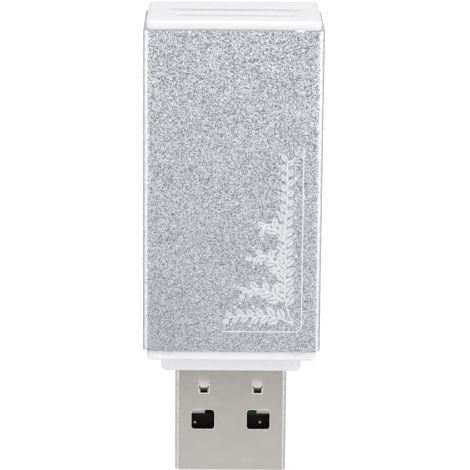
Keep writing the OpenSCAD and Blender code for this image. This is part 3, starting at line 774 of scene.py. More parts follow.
def put_in_order(shape: bmesh.types.BMesh) -> None:
    """Orders a shape's corners and faces by place, so that every run gives the same mesh."""
    places = (lambda vert: vert.co[:], lambda face: face.calc_center_median()[:])
    for elements, place in zip((shape.verts, shape.faces), places):
        rank = {element: number for number, element in enumerate(sorted(elements, key=place))}
        elements.sort(key=lambda element: rank[element])


def mesh_of(name: str, shape: bmesh.types.BMesh, *materials: bpy.types.Material) -> bpy.types.Mesh:
    """Turns a shape under construction into a mesh, and frees the shape.

    Args:
        name: The mesh's name.
        shape: The shape.
        *materials: The mesh's materials.

    Returns:
        The mesh.
    """
    mesh = bpy.data.meshes.new(name)
    shape.to_mesh(mesh)
    shape.free()
    for material in materials:
        mesh.materials.append(material)
    return mesh


def baked(source: bpy.types.Object) -> bpy.types.Object:
    """Turns an object with its modifiers into a plain mesh at the origin.

    Args:
        source: The object, which is removed.

    Returns:
        A new object with the same name.
    """
    name = source.name
    bpy.context.view_layer.update()
    graph = bpy.context.evaluated_depsgraph_get()
    mesh = bpy.data.meshes.new_from_object(source.evaluated_get(graph), depsgraph=graph)
    mesh.name = name
    bpy.data.objects.remove(source)
    return plain_object(name, mesh)


def soften(made: bpy.types.Object, degrees: float = CREASE) -> None:
    """Shades a mesh smooth, with a crease at each sharp edge.

    Args:
        made: The object.
        degrees: The least angle of a crease.
    """
    made.data.shade_smooth()
    made.data.set_sharp_from_angle(angle=math.radians(degrees))


@dataclass
class Workshop:
    """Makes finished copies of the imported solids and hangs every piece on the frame.

    Attributes:
        frame: What the frame's loader gave.
        paint: The materials.
        weld: The distance in metres under which a solid's loose corners are one.
        flat: The angle in degrees under which two facets are one face.
    """

    frame: dict[str, Any]
    paint: Paint
    weld: float = 1e-7
    flat: float = 0.4

    def box(self, node: str) -> tuple[Vector, Vector]:
        """Gives a solid's lowest and highest corner in millimetres."""
        low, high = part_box(node)
        return low / MM, high / MM

    def hang(self, piece: bpy.types.Object, slot: Slot, *nodes: str) -> None:
        """Fixes a piece to the body and hides the solids that it stands for.

        Args:
            piece: The piece.
            slot: The record's slot that goes with its finish; not used.
            *nodes: The solids that it stands for.
        """
        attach(piece, BODY)
        if nodes:
            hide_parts(*nodes)

    def joined(self, node: str) -> bmesh.types.BMesh:
        """Copies a solid with its loose triangles joined to whole faces."""
        shape = bmesh.new()
        shape.from_mesh(self.frame["nodes"][node].data)
        bmesh.ops.remove_doubles(shape, verts=shape.verts, dist=self.weld)
        bmesh.ops.dissolve_limit(
            shape, angle_limit=math.radians(self.flat), verts=shape.verts, edges=shape.edges
        )
        return shape

    def eased(
        self, made: bpy.types.Object, surface: BVHTree, edge: float, steps: int
    ) -> bpy.types.Object:
        """Eases a copy's sharp edges.

        Args:
            made: The copy, which is removed.
            surface: The solid's own surface.
            edge: The width of an eased edge in millimetres.
            steps: The number of facets across an eased edge.

        Returns:
            The eased copy. A corner that the easing threw off the surface is back on it.
        """
        bevel = made.modifiers.new("eased", "BEVEL")
        bevel.width = edge * MM
        bevel.segments = steps
        bevel.limit_method = "ANGLE"
        bevel.angle_limit = math.radians(CREASE)
        bevel.use_clamp_overlap = False
        bevel.loop_slide = False
        made = baked(made)
        for vert in made.data.vertices:
            spot, _, _, gap = surface.find_nearest(vert.co)
            if gap > edge * MM:
                vert.co = spot
        return made

    def eased_copy(self, node: str, slot: Slot, edge: float, steps: int = 2) -> None:
        """Hangs a finished copy of a solid, which stands for it.

        Args:
            node: The solid's name.
            slot: The record's slot that gives its finish.
            edge: The width of an eased edge in millimetres, or 0 for sharp edges.
            steps: The number of facets across an eased edge.
        """
        shape = self.joined(node)
        surface = BVHTree.FromBMesh(shape)
        mesh = mesh_of(node, shape, self.paint.of_slot(slot))
        if "custom_normal" in mesh.attributes:
            mesh.attributes.remove(mesh.attributes["custom_normal"])
        made = plain_object(f"{node}_eased", mesh)
        if edge:
            made = self.eased(made, surface, edge, steps)
        facets = made.modifiers.new("facets", "TRIANGULATE")
        facets.min_vertices = 5
        soften(made)
        level = made.modifiers.new("level", "WEIGHTED_NORMAL")
        level.weight = 100
        level.keep_sharp = True
        self.hang(baked(made), slot, node)


# ---- geometry trees


class ShapeTree(Wiring):
    """A geometry tree under construction, with named inputs."""

    def __init__(self, name: str) -> None:
        """Starts a tree with one geometry input and one output.

        Args:
            name: The tree's name.
        """
        super().__init__(bpy.data.node_groups.new(name, "GeometryNodeTree"))
        for way in ("INPUT", "OUTPUT"):
            self.tree.interface.new_socket("Geometry", in_out=way, socket_type="NodeSocketGeometry")
        self.values: dict[str, float] = {}
        self.inlet = self.add("NodeGroupInput")
        self.outlet = self.add("NodeGroupOutput")

    def size(self, name: str, value: float) -> Socket:
        """Adds a named input and gives its socket inside the tree.

        Args:
            name: The input's name.
            value: The value that the modifier sets.

        Returns:
            The socket that carries the value.
        """
        self.tree.interface.new_socket(name, in_out="INPUT", socket_type="NodeSocketFloat")
        self.values[name] = value
        return self.inlet.outputs[name]

    def vector(self, x: Number = 0.0, y: Number = 0.0, z: Number = 0.0) -> Socket:
        """Joins three numbers, or their sockets, to a vector."""
        return self.add("ShaderNodeCombineXYZ", {"X": x, "Y": y, "Z": z}).outputs[0]

    def end(self, shapes: Iterable[Socket], material: bpy.types.Material | None = None) -> None:
        """Joins the shapes, makes them real and gives them their material.

        Args:
            shapes: The sockets of the shapes.
            material: The material, or None where it is given later.
        """
        joined = self.add("GeometryNodeJoinGeometry")
        for shape in shapes:
            self.link(shape, joined.inputs[0])
        real = self.add("GeometryNodeRealizeInstances", {0: joined.outputs[0]})
        painted = self.add("GeometryNodeSetMaterial", {"Geometry": real.outputs[0]})
        if material:
            painted.inputs["Material"].default_value = material
        self.link(painted.outputs[0], self.outlet.inputs[0])

    def run(self, base: bpy.types.Object) -> bpy.types.Object:
        """Runs the tree on an object and keeps the result as a plain mesh.

        Args:
            base: The object that the tree reads, which is removed.

        Returns:
            The object that holds the result.
        """
        modifier = base.modifiers.new(self.tree.name, "NODES")
        modifier.node_group = self.tree
        for item in self.tree.interface.items_tree:
            if item.in_out == "INPUT" and item.name in self.values:
                modifier[item.identifier] = self.values[item.name]
        return baked(base)


def lines_object(
    name: str, lines: Iterable[Sequence[Point]], smooth: int = 0, closed: bool = False
) -> bpy.types.Object:
    """Makes a curve object with one line for each run of points.

    Args:
        name: The object's name.
        lines: The runs of points in millimetres.
        smooth: The number of steps between points on a soft line, or 0 for straight runs.
        closed: Whether each line comes back to its start.

    Returns:
        The curve object.
    """
    curve = bpy.data.curves.new(name, "CURVE")
    curve.dimensions = "3D"
    for points in lines:
        spline = curve.splines.new("NURBS" if smooth else "POLY")
        spline.points.add(len(points) - 1)
        spline.use_cyclic_u = closed
        for spot, point in zip(spline.points, points):
            spot.co = (*(part * MM for part in point), 1.0)
        if smooth:
            spline.use_endpoint_u = True
            spline.order_u = 3
            spline.resolution_u = smooth
    return plain_object(name, curve)


@dataclass
class Bead:
    """A thin bead of stuff along a line, such as glue, flash or a punched burr.

    Attributes:
        name: The piece's name.
        finish: The bead's finish.
        slot: The record's slot that the finish goes with.
        thick: The bead's middle thickness in millimetres.
        uneven: How far the thickness wanders, as a share.
        patch: The length of a thick or thin stretch in millimetres.
        tapered: Whether the bead runs out at both ends.
        step: The distance between the bead's sections in millimetres.
        sides: The number of sides of a section.
        least: The least thickness, as a share of the middle one.
        taper_power: How late the bead runs out, less for later.
        seed: The place in the noise that gives the uneven thickness.
    """

    name: str
    finish: Finish
    slot: Slot
    thick: float
    uneven: float = 0.0
    patch: float = 0.5
    tapered: bool = False
    step: float = 0.06
    sides: int = 8
    least: float = 0.15
    taper_power: float = 0.3
    seed: float = 3.0

    def swelling(self, tree: ShapeTree) -> Socket:
        """Gives the bead's thickness along the line, as a share of the middle one.

        Args:
            tree: The tree.

        Returns:
            The socket.
        """
        wander = tree.size("Wander", self.uneven)
        wobble = tree.add(
            "ShaderNodeTexNoise",
            {"W": self.seed, "Scale": 1 / (self.patch * MM), "Detail": 3.0, "Roughness": 0.6},
            noise_dimensions="4D",
        )
        swing = tree.math("MULTIPLY_ADD", wobble.outputs[0], 4.0, -2.0)
        size = tree.math("MAXIMUM", tree.math("MULTIPLY_ADD", swing, wander, 1.0), self.least)
        if not self.tapered:
            return size
        part = tree.add("GeometryNodeSplineParameter").outputs["Factor"]
        ends = tree.math("MAXIMUM", tree.math("SINE", tree.math("MULTIPLY", part, math.pi)), 0.001)
        return tree.math("MULTIPLY", size, tree.math("POWER", ends, self.taper_power))

    def tree(self, material: bpy.types.Material) -> ShapeTree:
        """Builds the tree that lays the bead.

        Args:
            material: The bead's material.

        Returns:
            The tree.
        """
        tree = ShapeTree(self.name)
        width = tree.size("Thickness", self.thick * MM)
        step = tree.size("Step", self.step * MM)
        spaced = tree.add(
            "GeometryNodeResampleCurve", {"Curve": tree.inlet.outputs[0], "Length": step}, mode="LENGTH"
        )
        sized = tree.add(
            "GeometryNodeSetCurveRadius", {"Curve": spaced.outputs[0], "Radius": self.swelling(tree)}
        )
        ring = tree.add(
            "GeometryNodeCurvePrimitiveCircle",
            {"Resolution": self.sides, "Radius": tree.math("MULTIPLY", width, 0.5)},
            mode="RADIUS",
        )
        sweep = tree.add(
            "GeometryNodeCurveToMesh",
            {
                "Curve": sized.outputs[0],
                "Profile Curve": ring.outputs[0],
                "Fill Caps": True,
                "Scale": tree.add("GeometryNodeInputRadius").outputs[0],
            },
        )
        tree.end([sweep.outputs[0]], material)
        return tree

    def lay(self, shop: Workshop, lines: Iterable[Sequence[Point]], closed: bool = False) -> None:
        """Lays the bead along one or more lines.

        Args:
            shop: The workshop.
            lines: The runs of points in millimetres.
            closed: Whether each run comes back to its start.
        """
        path = lines_object(self.name, lines, closed=closed)
        piece = self.tree(shop.paint.of(self.finish)).run(path)
        soften(piece, ROUND_CREASE)
        shop.hang(piece, self.slot)


# ---- sub-assemblies


@dataclass
class Housing:
    """The metal sleeve with its two white end mouldings.

    Attributes:
        shop: The workshop.
        rim_edge: The easing of the sleeve's cut edges.
        mould_edge: The easing of the mouldings' edges.
        glue_and_shade: The tan line in the gap along the rim, partly glue and partly the gap's painted
            shade.
        glue_and_shade_span: Where the line starts and ends across the width.
        glue_and_shade_over: How far the line's middle stands over the rim.
        flash: The scrap of moulding flash on the rim.
        flash_run: The flash's points across the width, past the rim and over the upper face.
    """

    shop: Workshop
    rim_edge: float = 0.05
    mould_edge: float = 0.06
    glue_and_shade: Bead = field(
        default_factory=lambda: Bead("rim_glue_and_gap_shade", GAP_GLUE_AND_SHADE, Slot.WHITE, 0.2, uneven=0.45, tapered=True)
    )
    glue_and_shade_span: Span = (-8.4, 8.2)
    glue_and_shade_over: float = 0.02
    flash: Bead = field(
        default_factory=lambda: Bead("rim_flash", FLASH, Slot.WHITE, 0.3, 0.5, patch=0.25, tapered=True)
    )
    flash_run: tuple[Point, ...] = (
        (6.3, 0.15, -0.04),
        (6.7, 0.02, 0.0),
        (6.825, 0.1, -0.02),
        (7.05, -0.02, 0.0),
        (7.35, 0.1, -0.03),
    )

    def build(self) -> None:
        """Makes the three pieces, the tan line in the rim's gap, partly glue and partly painted shade,
        and the scrap of flash.
        """
        self.shop.eased_copy("sleeve", Slot.ALUMINIUM, self.rim_edge)
        self.shop.eased_copy("slot_bezel", Slot.WHITE, self.mould_edge)
        self.shop.eased_copy("plug_collar", Slot.WHITE, self.mould_edge)
        rim = self.shop.box("sleeve")[1]
        level = (self.shop.box("slot_bezel")[1].z + rim.z) / 2
        self.glue_and_shade.lay(self.shop, [[(x, rim.y + self.glue_and_shade_over, level) for x in self.glue_and_shade_span]])
        self.flash.lay(self.shop, [[(x, rim.y + y, rim.z + z) for x, y, z in self.flash_run]])
        LOG.info("housing: sleeve, slot bezel, plug collar, glue line and flash")


def ring_points(
    middle: Point, width: float, length: float, radius: float, steps: int = 5
) -> list[Point]:
    """Gives the outline of a round-cornered rectangle that lies flat.

    Args:
        middle: Its middle in millimetres.
        width: Its size across.
        length: Its size along.
        radius: Its corner radius.
        steps: The number of steps round each corner.

    Returns:
        The points in order.
    """
    points = []
    for turn, (sx, sy) in enumerate(((1, 1), (-1, 1), (-1, -1), (1, -1))):
        for step in range(steps + 1):
            angle = math.radians(90 * (turn + step / steps))
            points.append(
                (
                    middle[0] + sx * (width / 2 - radius) + radius * math.cos(angle),
                    middle[1] + sy * (length / 2 - radius) + radius * math.sin(angle),
                    middle[2],
                )
            )
    return points


@dataclass
class Plug:
    """The plug's shell, its tongue and the four contacts.

    Attributes:
        shop: The workshop.
        sheet_edge: The easing of the shell's and the tongue's edges, which stay sharp.
        contact_edge: The easing of the contacts' edges.
        burr: The thickness of the burr round each latch window.
        burr_uneven: How far a burr's thickness wanders, as a share.
        sunk: How far the burrs' middle lies under the shell's face.
        window_x: The distance of each latch window from the middle.
        window: The width, length and corner radius of a latch window.
        window_from_tip: The distance from the tip to a latch window.
        lance_x: The distance of each retaining tab from the middle.
        horn_x: The distances of the burr's near and far corners from its tab's middle.
        horn: The distances from the tip to the near and far corners.
        horn_thick: The thickness of the burr round each tab's open end.
        pip_at: The places of the pale pips under the windows, which paint the glints seen there.
        pip_radius: The radius of a pip.
        pip_over: The height of the pips' middle over the board's underside.
    """

    shop: Workshop
    sheet_edge: float = 0.0
    contact_edge: float = 0.03
    burr: float = 0.07
    burr_uneven: float = 0.25
    sunk: float = 0.01
    window_x: float = 3.0
    window: Point = (2.5, 2.23, 0.38)
    window_from_tip: float = 4.63
    lance_x: float = 2.9
    horn_x: Span = (0.53, 0.61)
    horn: Span = (8.72, 9.75)
    horn_thick: float = 0.119
    pip_at: tuple[Span, ...] = ((-3.9, -27.02), (3.22, -26.96))
    pip_radius: float = 0.16
    pip_over: float = 0.2

    def burrs(self) -> None:
        """Lays the burrs round the windows and round the tabs' open ends, in a lighter metal that
        paints the edges' highlights.
        """
        low, high = self.shop.box("plug_shell")
        level = high.z - self.sunk
        width, length, radius = self.window
        y = low.y + self.window_from_tip + length / 2
        rings = [
            ring_points((side * self.window_x, y, level), width + self.burr, length + self.burr, radius)
            for side in (-1, 1)
        ]
        round_windows = Bead("window_burrs", BURR_HIGHLIGHT, Slot.NICKEL, self.burr, self.burr_uneven)
        round_windows.lay(self.shop, rings, closed=True)
        near, far = (low.y + reach for reach in self.horn)
        inner, outer = self.horn_x
        corner_run = ((-outer, far), (-inner, near), (inner, near), (outer, far))
        runs = [
            [(tab + x, y, level) for x, y in corner_run] for tab in (-self.lance_x, self.lance_x)
        ]
        round_tabs = Bead(
            "tab_burrs", BURR_HIGHLIGHT, Slot.NICKEL, self.horn_thick, self.burr_uneven, patch=0.4, tapered=True
        )
        round_tabs.lay(self.shop, runs)

    def pips(self) -> None:
        """Sets two small pale domes on the floor under the windows, which paint the glints seen there.
        """
        level = self.shop.box("circuit_board")[0].z + self.pip_over
        shape = bmesh.new()
        for x, y in self.pip_at:
            place = Matrix.Translation(Vector((x, y, level)) * MM)
            bmesh.ops.create_icosphere(shape, subdivisions=2, radius=self.pip_radius * MM, matrix=place)
        pips = plain_object("glint_pips", mesh_of("glint_pips", shape, self.shop.paint.of(GLINT_PIP)))
        soften(pips, ROUND_CREASE)
        self.shop.hang(pips, Slot.DARK)

    def build(self) -> None:
        """Makes the pieces."""
        self.shop.eased_copy("plug_shell", Slot.NICKEL, self.sheet_edge)
        self.shop.eased_copy("plug_insulator", Slot.DARK, self.sheet_edge)
        for node in ("power_contact", "data_minus_contact", "data_plus_contact", "ground_contact"):
            self.shop.eased_copy(node, Slot.GILT, self.contact_edge)
        self.burrs()
        self.pips()
        LOG.info("plug: shell, insulator, four contacts, burrs and pips")


@dataclass
class Inside:
    """The board, the sockets, the side frames and the small parts.

    Attributes:
        shop: The workshop.
        edge: The easing of the moulded edges.
        fine: The easing of the small metal edges.
    """

    shop: Workshop
    edge: float = 0.05
    fine: float = 0.02

    def build(self) -> None:
        """Makes the pieces."""
        coarse = {
            "circuit_board": Slot.LAMINATE,
            "upper_socket_base": Slot.BLACK,
            "lower_socket_base": Slot.BLACK,
            "wide_card_frame": Slot.BLACK,
            "thick_card_frame": Slot.BLACK,
            "controller_chip": Slot.EPOXY,
            "crystal": Slot.CRYSTAL,
        }
        fine = {
            "upper_socket_cover": Slot.SOCKET,
            "lower_socket_cover": Slot.SOCKET,
            "upper_socket_contacts": Slot.GILT,
            "lower_socket_contacts": Slot.GILT,
            "wide_card_contacts": Slot.GILT,
            "thick_card_contacts": Slot.GILT,
            "controller_leads": Slot.TINNED,
            "capacitors": Slot.CAPACITOR,
            "resistors": Slot.RESISTOR,
            "status_led": Slot.LED,
        }
        for nodes, edge in ((coarse, self.edge), (fine, self.fine)):
            for node, slot in nodes.items():
                self.shop.eased_copy(node, slot, edge, steps=1)
        LOG.info("inside: %d pieces", len(coarse) + len(fine))


@dataclass
class FacePrint:
    """A pale printed corner of leaf sprigs and berries on the sleeve's upper face.

    Attributes:
        shop: The workshop.
        right: Where the border stands across the width.
        foot: Where the border lies along the length.
        top: Where the border ends towards the slots.
        left: Where the border ends across the width.
        corner: The radius of the border's corner.
        ink: The height of the ink over the metal.
        line: The width of a printed line.
        soft: The number of steps between two points of a stem.
        stems: The stems, each from its root to its tip, from the border's corner.
        leaf_long: The length of the longest leaves.
        leaf_wide: The width of the widest leaves.
        leaf_step: The distance between leaves along a stem.
        leaf_turn: The angle in degrees between a leaf and its stem.
        leaf_taper: How much smaller the leaves at the tip are, as a share.
        leaf_lean: How much narrower a leaf is towards its tip, as a share.
        leaf_from: The share of a stem that has no leaves.
        vein: The gap that is left between a leaf's halves, as a share of its width.
        berry: The radius of a berry.
        berry_from: The share of a stem that has no berries.
        thin_ink: The share of ink on the leaves and berries.
        thick_ink: The share of ink on the lines.
        ink_colour: The ink's colour.
    """

    shop: Workshop
    right: float = 7.38
    foot: float = -15.0
    top: float = 5.0
    left: float = -1.0
    corner: float = 0.7
    ink: float = 0.012
    line: float = 0.13
    soft: int = 6
    stems: tuple[tuple[Span, ...], ...] = (
        ((-0.9, 0.9), (-1.9, 3.0), (-1.7, 7.0), (-1.9, 11.0), (-1.6, 15.0), (-1.7, 18.6)),
        ((-0.9, 0.9), (-3.0, 1.9), (-5.0, 1.6), (-6.4, 1.9), (-7.8, 1.5)),
        ((-1.9, 3.2), (-3.6, 4.7), (-5.2, 4.8), (-6.2, 4.2)),
        ((-1.8, 6.2), (-3.2, 8.2), (-4.5, 8.5), (-5.2, 7.9)),
        ((-1.9, 10.0), (-3.0, 11.7), (-3.9, 11.8), (-4.3, 11.2)),
    )
    leaf_long: float = 1.5
    leaf_wide: float = 0.78
    leaf_step: float = 0.54
    leaf_turn: float = 46.0
    leaf_taper: float = 0.4
    leaf_lean: float = 0.16
    leaf_from: float = 0.1
    vein: float = 0.14
    berry: float = 0.2
    berry_from: float = 0.25
    thin_ink: float = 0.74
    thick_ink: float = 0.92
    ink_colour: Colour = (0.76, 0.77, 0.80)

    def border(self, steps: int = 8) -> list[Point]:
        """Gives the border's line, with a round corner.

        Args:
            steps: The number of steps round the corner.

        Returns:
            The points in millimetres.
        """
        turns = [math.radians(-90 * step / steps) for step in range(steps + 1)]
        corner = [
            (
                self.right - self.corner * (1 - math.cos(turn)),
                self.foot + self.corner * (1 + math.sin(turn)),
                0.0,
            )
            for turn in turns
        ]
        return [(self.right, self.top, 0.0), *corner, (self.left, self.foot, 0.0)]

    def leaf(self, tree: ShapeTree) -> Socket:
        """Draws one flat leaf, one unit long from its foot at the origin.

        Args:
            tree: The tree.

        Returns:
            The leaf's socket.
        """
        half_turn = {"Resolution": 9, "Radius": 1.0, "Sweep Angle": math.pi}
        arc = tree.add("GeometryNodeCurveArc", half_turn, mode="RADIUS")
        loop = tree.add("GeometryNodeSetSplineCyclic", {0: arc.outputs[0], "Cyclic": True})
        disc = tree.add("GeometryNodeFillCurve", {"Curve": loop.outputs[0]}, mode="NGONS")
        x, y, _ = tree.parts(tree.add("GeometryNodeInputPosition").outputs[0])
        along = tree.math("MULTIPLY_ADD", x, 0.5, 0.5)
        swell = tree.math("MULTIPLY_ADD", x, -self.leaf_lean, 0.5)
        across = tree.math("MULTIPLY", tree.math("MULTIPLY", y, y), swell)
        outline = tree.vector(along, tree.math("ADD", across, self.vein / 2))
        half = tree.add("GeometryNodeSetPosition", {"Geometry": disc.outputs[0], "Position": outline})
        mirrored = {"Geometry": half.outputs[0], "Scale": (1.0, -1.0, 1.0)}
        other = tree.add("GeometryNodeTransform", mirrored)
        both = tree.add("GeometryNodeJoinGeometry")
        for part in (half, other):
            tree.link(part.outputs[0], both.inputs[0])
        return both.outputs[0]

    def line_tree(self) -> ShapeTree:
        """Builds the tree that prints a flat line of even width."""
        tree = ShapeTree("printed_lines")
        half = tree.math("MULTIPLY", tree.size("Line width", self.line * MM), 0.5)
        level = tree.add("GeometryNodeSetCurveNormal", {"Curve": tree.inlet.outputs[0]}, mode="Z_UP")
        ends = {"Start": tree.vector(tree.math("MULTIPLY", half, -1.0)), "End": tree.vector(half)}
        profile = tree.add("GeometryNodeCurvePrimitiveLine", ends)
        strip = tree.add(
            "GeometryNodeCurveToMesh", {"Curve": level.outputs[0], "Profile Curve": profile.outputs[0]}
        )
        tree.end([strip.outputs[0]])
        return tree

    def leaf_tree(self) -> ShapeTree:
        """Builds the tree that sets leaves on both sides of each stem, and berries past some."""
        tree = ShapeTree("printed_leaves")
        step = tree.size("Leaf step", self.leaf_step * MM)
        long = tree.size("Leaf length", self.leaf_long * MM)
        wide = tree.size("Leaf width", self.leaf_wide * MM)
        berry = tree.size("Berry radius", self.berry * MM)
        spaced = tree.add(
            "GeometryNodeResampleCurve", {"Curve": tree.inlet.outputs[0], "Length": step}, mode="LENGTH"
        )
        kept = tree.add("GeometryNodeCaptureAttribute", {"Geometry": spaced.outputs[0]})
        kept.capture_items.new("FLOAT", "Part")
        tree.link(tree.add("GeometryNodeSplineParameter").outputs["Factor"], kept.inputs["Part"])
        part = kept.outputs["Part"]
        spots = tree.add("GeometryNodeCurveToPoints", {"Curve": kept.outputs[0]}, mode="EVALUATED")
        heading_x, heading_y, _ = tree.parts(spots.outputs["Tangent"])
        angle = tree.math("ARCTAN2", heading_y, heading_x)
        number = tree.add("GeometryNodeInputIndex").outputs[0]
        side = tree.math("MULTIPLY_ADD", tree.math("MODULO", number, 2.0), 2.0, -1.0)
        turn = tree.vector(z=tree.math("MULTIPLY_ADD", side, math.radians(self.leaf_turn), angle))
        taper = tree.math("MULTIPLY_ADD", part, -self.leaf_taper, 1.0)
        size = tree.vector(tree.math("MULTIPLY", taper, long), tree.math("MULTIPLY", taper, wide), 1.0)
        disc = tree.add("GeometryNodeMeshCircle", {"Vertices": 14, "Radius": berry}, fill_type="NGON")
        beyond = tree.vector(tree.math("MULTIPLY_ADD", berry, 1.5, long))
        moved = tree.add("GeometryNodeSetPosition", {"Geometry": disc.outputs[0], "Offset": beyond})
        pairs = tree.math("LESS_THAN", tree.math("MODULO", number, 4.0), 1.5)
        chosen = tree.math("MULTIPLY", pairs, tree.math("GREATER_THAN", part, self.berry_from))
        shapes = []
        for shape, where, scale in (
            (self.leaf(tree), tree.math("GREATER_THAN", part, self.leaf_from), size),
            (moved.outputs[0], chosen, tree.vector(taper, taper, 1.0)),
        ):
            links = {
                "Points": spots.outputs[0],
                "Selection": where,
                "Instance": shape,
                "Rotation": turn,
                "Scale": scale,
            }
            shapes.append(tree.add("GeometryNodeInstanceOnPoints", links).outputs[0])
        tree.end(shapes)
        return tree

    def flattened(
        self, lines: Sequence[bpy.types.Object], fills: Sequence[bpy.types.Object]
    ) -> tuple[list[Vector], list[list[int]], list[bool]]:
        """Joins flat shapes that lie over one another to one sheet of faces side by side.

        Args:
            lines: The objects with the lines, which are removed.
            fills: The objects with the filled shapes, which are removed.

        Returns:
            The points in millimetres, the faces, and whether each face has a line's thick ink.
        """
        points: list[Vector] = []
        outlines: list[list[int]] = []
        line_count = sum(len(part.data.polygons) for part in lines)
        for part in (*lines, *fills):
            first = len(points)
            points += [Vector((vert.co.x / MM, vert.co.y / MM)) for vert in part.data.vertices]
            for face in part.data.polygons:
                outline = [first + index for index in face.vertices]
                outlines.append(outline if face.normal.z > 0 else outline[::-1])
            bpy.data.objects.remove(part)
        spots, _, faces, _, _, owners = delaunay_2d_cdt(points, [], outlines, 1, 1e-5)
        inside = [index for index, owner in enumerate(owners) if owner]
        thick = [min(owners[index]) < line_count for index in inside]
        return spots, [faces[index] for index in inside], thick

    def inks(self) -> list[bpy.types.Material]:
        """Gives the thin ink of the leaves and the thick ink of the lines."""
        thin = BlastedAluminium(
            "pale_ink",
            FINISHES[Slot.ALUMINIUM].colour,
            metallic=0.3,
            roughness=0.5,
            grain_depth=0.002,
            wander=0.05,
            ink=self.thin_ink,
            ink_colour=self.ink_colour,
        )
        thick = replace(thin, name="pale_ink_line", ink=self.thick_ink)
        return [self.shop.paint.of(finish) for finish in (thin, thick)]

    def sheet(self) -> bmesh.types.BMesh:
        """Draws the whole print and gives it the ink's height.

        Returns:
            The shape, a little above and as far below the sleeve's face.
        """
        stems = [[(self.right + x, self.foot + y, 0.0) for x, y in stem] for stem in self.stems]
        lines = [
            self.line_tree().run(lines_object("border_line", [self.border()])),
            self.line_tree().run(lines_object("stem_lines", stems, self.soft)),
        ]
        leaves = self.leaf_tree().run(lines_object("leaf_lines", stems, self.soft))
        spots, faces, inked = self.flattened(lines, [leaves])
        level = self.shop.box("sleeve")[1].z - self.ink
        shape = bmesh.new()
        verts = [shape.verts.new(Vector((spot.x, spot.y, level)) * MM) for spot in spots]
        for face, is_thick in zip(faces, inked):
            shape.faces.new([verts[index] for index in face]).material_index = int(is_thick)
        raised = bmesh.ops.extrude_face_region(shape, geom=shape.faces[:], use_keep_orig=True)
        upper = [item for item in raised["geom"] if isinstance(item, bmesh.types.BMVert)]
        bmesh.ops.translate(shape, verts=upper, vec=(0.0, 0.0, 2 * self.ink * MM))
        loose = [vert for vert in shape.verts if not vert.link_faces]
        bmesh.ops.delete(shape, geom=loose, context="VERTS")
        bmesh.ops.recalc_face_normals(shape, faces=shape.faces)
        put_in_order(shape)
        return shape

    def build(self) -> None:
        """Prints the border, the stems, the leaves and the berries as one piece."""
        piece = plain_object("face_print", mesh_of("face_print", self.sheet(), *self.inks()))
        soften(piece)
        self.shop.hang(piece, Slot.ALUMINIUM)
        LOG.info("face print: %d faces", len(piece.data.polygons))


# ---- stage


@dataclass(frozen=True)
class Lamp:
    """One soft rectangular lamp.

    Attributes:
        name: The lamp's name.
        place: Its place in millimetres.
        aim: The point that it faces, in millimetres.
        size: Its width and length in millimetres.
        watts: Its power.
    """

    name: str
    place: Point
    aim: Point
    size: Span
    watts: float

    def hang(self) -> None:
        """Hangs the lamp in the scene."""
        data = bpy.data.lights.new(self.name, "AREA")
        data.shape = "RECTANGLE"
        data.size, data.size_y = (part * MM for part in self.size)
        data.energy = self.watts
        away = Vector(self.place) - Vector(self.aim)
        turn = away.to_track_quat("Z", "Y").to_matrix().to_4x4()
        plain_object(self.name, data).matrix_world = Matrix.Translation(Vector(self.place) * MM) @ turn


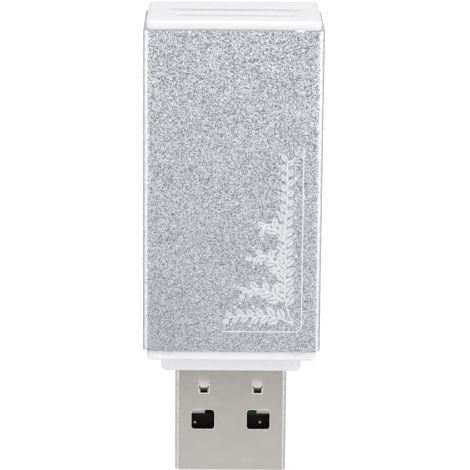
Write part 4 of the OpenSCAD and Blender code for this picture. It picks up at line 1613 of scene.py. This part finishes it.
@dataclass
class Studio:
    """A plain pale floor, soft light and the camera.

    Attributes:
        floor_half: Half the floor's side in metres.
        floor_under: How far the floor lies under the object in millimetres.
        floor_grey: How much light the floor sends back on to the object.
        floor_faint: How much light the floor sends to the camera, beside its glow.
        floor_glow: The glow that makes the floor white to the camera.
        ambient: The strength of the surroundings' light on dull surfaces.
        place: The camera's place in millimetres.
        right: The direction of the photograph's right side.
        up: The direction of the photograph's upper side.
        lens: The camera's focal length in millimetres.
        sensor: The camera's sensor width in millimetres.
        lamps: The lamps.
    """

    floor_half: float = 1.5
    floor_under: float = 0.02
    floor_grey: float = 0.8
    floor_faint: float = 0.2
    floor_glow: float = 0.885
    ambient: float = 0.62
    place: Point = (-1.7896, 65.1805, 284.3147)
    right: Point = (0.999947, 0.008817, 0.00534)
    up: Point = (-0.007214, 0.968593, -0.248547)
    lens: float = 204.309
    sensor: float = 36.0
    lamps: tuple[Lamp, ...] = (
        Lamp("key_light", (130.0, 250.0, 420.0), (0.0, 0.0, 0.0), (360.0, 360.0), 0.5),
        Lamp("front_light", (0.0, -296.0, 365.0), (0.0, -20.0, 6.0), (220.0, 140.0), 0.125),
        Lamp("slot_end_light", (0.0, 390.0, 200.0), (0.0, 10.0, 6.0), (300.0, 160.0), 0.42),
        Lamp("left_light", (-380.0, -20.0, 220.0), (0.0, -5.0, 6.0), (100.0, 400.0), 0.28),
        Lamp("right_light", (380.0, -20.0, 220.0), (0.0, -5.0, 6.0), (100.0, 400.0), 0.3),
    )

    def camera(self) -> None:
        """Sets up the camera that took the photograph."""
        data = bpy.data.cameras.new("photo_camera")
        data.sensor_width = self.sensor
        data.lens = self.lens
        data.clip_start, data.clip_end = 0.01, 10.0
        camera = plain_object("photo_camera", data)
        right, up = Vector(self.right), Vector(self.up)
        turn = Matrix((right, up, right.cross(up))).transposed().to_4x4()
        camera.matrix_world = Matrix.Translation(Vector(self.place) * MM) @ turn
        bpy.context.scene.camera = camera

    def looked_at(self, wiring: Wiring, *kinds: str) -> Socket:
        """Gives 1 for the kinds of ray that look straight at a thing, and 0 for dull light.

        Args:
            wiring: The tree that gets the nodes.
            *kinds: The kinds of ray.

        Returns:
            The socket.
        """
        path = wiring.add("ShaderNodeLightPath")
        total, *others = (path.outputs[f"Is {kind} Ray"] for kind in kinds)
        for share in others:
            total = wiring.math("MAXIMUM", total, share)
        return total

    def surroundings(self) -> None:
        """Makes the white surroundings, which light dull surfaces more softly."""
        world = bpy.data.worlds.new("surroundings")
        bpy.context.scene.world = world
        world.use_nodes = True
        wiring = Wiring(world.node_tree)
        seen = self.looked_at(wiring, "Camera", "Glossy", "Transmission")
        level = wiring.add("ShaderNodeMapRange", {"Value": seen, "To Min": self.ambient, "To Max": 1.0})
        links = {"Color": (1.0, 1.0, 1.0, 1.0), "Strength": level.outputs["Result"]}
        light = wiring.add("ShaderNodeBackground", links)
        wiring.add("ShaderNodeOutputWorld", {"Surface": light.outputs["Background"]})

    def floor_finish(self) -> bpy.types.Material:
        """Makes the floor's material, grey to the object's light and white to the camera."""
        material = bpy.data.materials.new("pale_floor")
        material.use_nodes = True
        wiring = Wiring(material.node_tree)
        dull, faint = (
            wiring.add("ShaderNodeBsdfDiffuse", {"Color": (grey, grey, grey, 1.0)})
            for grey in (self.floor_grey, self.floor_faint)
        )
        glow = wiring.add("ShaderNodeEmission", {"Strength": self.floor_glow})
        pale = wiring.add("ShaderNodeAddShader", {0: faint.outputs[0], 1: glow.outputs[0]})
        seen = self.looked_at(wiring, "Camera", "Transmission")
        either = wiring.add("ShaderNodeMixShader", {0: seen, 1: dull.outputs[0], 2: pale.outputs[0]})
        wiring.add("ShaderNodeOutputMaterial", {"Surface": either.outputs[0]})
        return material

    def floor(self) -> None:
        """Lays the floor just under the object."""
        shape = bmesh.new()
        half, level = self.floor_half, -self.floor_under * MM
        square = ((-half, -half), (half, -half), (half, half), (-half, half))
        shape.faces.new([shape.verts.new((x, y, level)) for x, y in square])
        plain_object("floor", mesh_of("floor", shape, self.floor_finish()))

    def build(self) -> None:
        """Makes the stage."""
        self.camera()
        self.surroundings()
        self.floor()
        for lamp in self.lamps:
            lamp.hang()
        bpy.context.scene.view_settings.view_transform = "Standard"
        LOG.info("stage: floor, %d soft lamps and the camera", len(self.lamps))


def main() -> None:
    """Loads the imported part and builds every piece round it."""
    logging.basicConfig(level=logging.INFO, format="%(name)s: %(message)s")
    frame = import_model()
    shop = Workshop(frame, Paint())
    for assembly in (Housing(shop), Plug(shop), Inside(shop), FacePrint(shop), Studio()):
        assembly.build()


if __name__ == "__main__":
    main()
